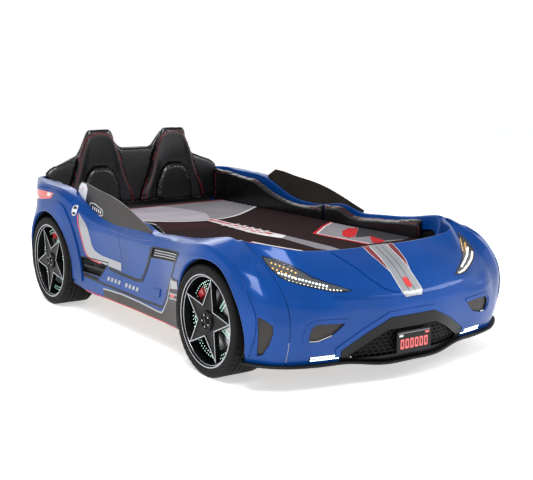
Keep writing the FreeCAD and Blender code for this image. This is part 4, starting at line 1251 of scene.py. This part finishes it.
def side_pad(place, seam, end_y, end_z):
    """A side pad, thinner on the mattress side to leave room for the swelling, with its sewn channels."""
    mesh = NODES["side_pad_%s_right" % place].data.copy()
    for v in mesh.vertices:
        v.co.x = 0.524 - (0.524 - v.co.x) * 0.68
        v.co.y += max(0.0, v.co.y - 0.95) * 0.4  # The rear pad goes on to the headboard pad
    pad = stuffed("side_cover_" + place, mesh, 0.007, 0.010, side_limit, 0.001, (1.0, 0.3, 0.3))
    groove(pad, [seam, [(end_y, 420), (end_y, end_z)]], "YZ", 3.2, 4.5, SIDE_WAY)
    return pad, [seam, [(end_y, 430), (end_y, end_z - 2)]]


rear_pad, rear_lines = side_pad("rear", REAR_SEAM, 1050, 570)
front_pad, front_lines = side_pad("front", FRONT_SEAM, -640, 484)
for name, mesh, node, lines, plane, way in (
        ("seat_cover", seat, "seat_back_*", SEAT_SEAMS, "XZ", FRONT_WAY),
        ("lumbar_cover", lumbar, "lumbar_pad_*", None, None, None),
        ("side_cover_rear", rear_pad, "side_pad_rear_*", rear_lines, "YZ", SIDE_WAY),
        ("side_cover_front", front_pad, "side_pad_front_*", front_lines, "YZ", SIDE_WAY)):
    for obj in pair(name, mesh, "leather", node):
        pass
    if lines:
        stitches("stitch_" + name, mesh, lines, plane, way)

# ------------------------------------------------------------------ mattress and its printed cover

foam = stuffed("mattress_cover", NODES["mattress"].data.copy(), 0.009, 0.006, mattress_limit, 0.002, inflate=False)
mattress = add_object("mattress_cover", foam, "maroon", True, "mattress_cover", MATTRESS)
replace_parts(mattress, "mattress")
MATTRESS_TREE = tree_of(foam)


def print_and_light_patch(name, poly, colour, lift):
    """A printed area of the cover, laid on the mattress; the shade row is painted light rather than print."""
    flat_points, tris = fill(poly, 24.0, 0.4)
    hits = [MATTRESS_TREE.ray_cast(Vector((p.x * MM, p.y * MM, 0.8)), Vector((0, 0, -1)))[0] for p in flat_points]
    verts = [hit + Vector((0, 0, lift * MM)) if hit is not None else (0, 0, 0) for hit in hits]
    faces = [f for f in tris if all(hits[i] is not None and hits[i].z > 0.40 for i in f)]
    add_object("print_" + name, oriented(name, verts, faces, (0, 0, 1)), colour, body=MATTRESS)


REAR_ARC = smooth_open([(-486, 700), (-400, 580), (-281, 475), (-136, 357), (15, 323), (153, 356), (320, 470),
                        (458, 590), (486, 616)], 40)
BAND_JOINT = [(60, 904), (110, 760), (123, 638), (128, 545), (60, 400), (33, 330)]
STRIPE_FAR = [(-28, -220), (-37, -92), (-20, 100), (-5, 319)]
BLOCKS = [("block%d" % k, [(-30, y), (62, y - 10), (62, y - 30), (-30, y - 20)], "cover_white", 1.5)
          for k, y in enumerate(range(150, -160, -62))]
for row in (
        ("band_pale", [(-486, 904), (-131, 895), (-40, 898)] + BAND_JOINT +
         [p for p in reversed(REAR_ARC) if p[0] < 20], "cover_pale", 0.7),
        ("band_grey", [(60, 904), (240, 918), (419, 934), (486, 944)] + [p for p in reversed(REAR_ARC)
         if p[0] > 40] + BAND_JOINT[:0:-1], "cover_grey", 0.7),
        ("head_strip", [(-486, 985), (486, 985), (486, 952), (240, 926), (60, 912), (-131, 903), (-486, 912)],
         "cover_dark", 0.7),
        ("head_line", band([(-486, 908), (-131, 898), (60, 908), (240, 922), (486, 948)], 11), "cover_red", 1.1),
        ("arc", band(REAR_ARC, 14), "cover_white", 1.1),
        ("stripe", [(48, 356), (47, 17), (50, -150), (52, -266), (-5, -314)] + STRIPE_FAR, "cover_white", 0.9),
        ("stripe_red", [(36, 340), (34, 17), (34, -200), (12, -200), (-8, -92), (-2, 120), (6, 330)],
         "cover_red", 1.3),
        ("stripe_core", [(14, 300), (16, 20), (20, -170), (12, -170), (2, 20), (4, 300)], "cover_white", 1.6),
        *BLOCKS,
        ("tail", [(52, -266), (-5, -314), (-35, -600), (-10, -700), (30, -700), (45, -594)], "cover_grey", 0.9),
        ("patch", [(470, -60), (364, -138), (250, -240), (191, -293), (198, -390), (206, -495), (213, -645),
                   (310, -642), (420, -640), (470, -600)], "cover_grey", 0.9),
        ("patch_edge", band([(476, -58), (364, -138), (250, -240), (189, -293), (196, -390), (204, -495),
                             (211, -648)], 15), "cover_red", 1.3),
        ("patch_white", band([(462, -78), (364, -152), (258, -248), (204, -298), (210, -390), (218, -495),
                              (226, -640)], 8), "cover_white", 1.4),
        ("blob", [(336, -313), (420, -255), (464, -273), (380, -370), (291, -459), (245, -474), (261, -411)],
         "cover_red", 1.4),
        ("wedge_dark", [(470, -273), (488, -400), (488, -600), (440, -640), (336, -611), (354, -489),
                        (278, -479), (380, -370)], "cover_dark", 1.3),
        ("wedge_red", [(363, -478), (330, -623), (270, -653), (250, -629)], "cover_red", 1.7),
        ("piping", band([(-170, -320), (-160, -420), (-142, -520), (-120, -620)], 16), "cover_white", 0.9),
        ("piping_red", band([(-182, -320), (-172, -420), (-154, -520), (-132, -620)], 9), "cover_red", 1.0),
        # Painted light: a brighter maroon area, not print, on the cover's near half
        ("shade", [(-486, 560), (-400, 500), (-300, 420), (-180, 330), (-60, 280), (-60, 120), (-486, 160)],
         "maroon_soft", 0.6)):
    print_and_light_patch(*row)

# ------------------------------------------------------------------ finishes of the nodes that stay

for key, names in {
    "black": "front_splitter grille_mesh wheel_liners control_box",
    "black_gloss": "grille_frame",
    "board": "headboard_panel rail_feet foot_board head_rail side_rail_left side_rail_right",
    "slat": "slats slat_ledgers centre_beam centre_legs",
    "steel": "frame_bolts shell_brackets",
    "red": "power_button",
}.items():
    for name in names.split():
        NODES[name].data.materials.clear()
        NODES[name].data.materials.append(M[key])
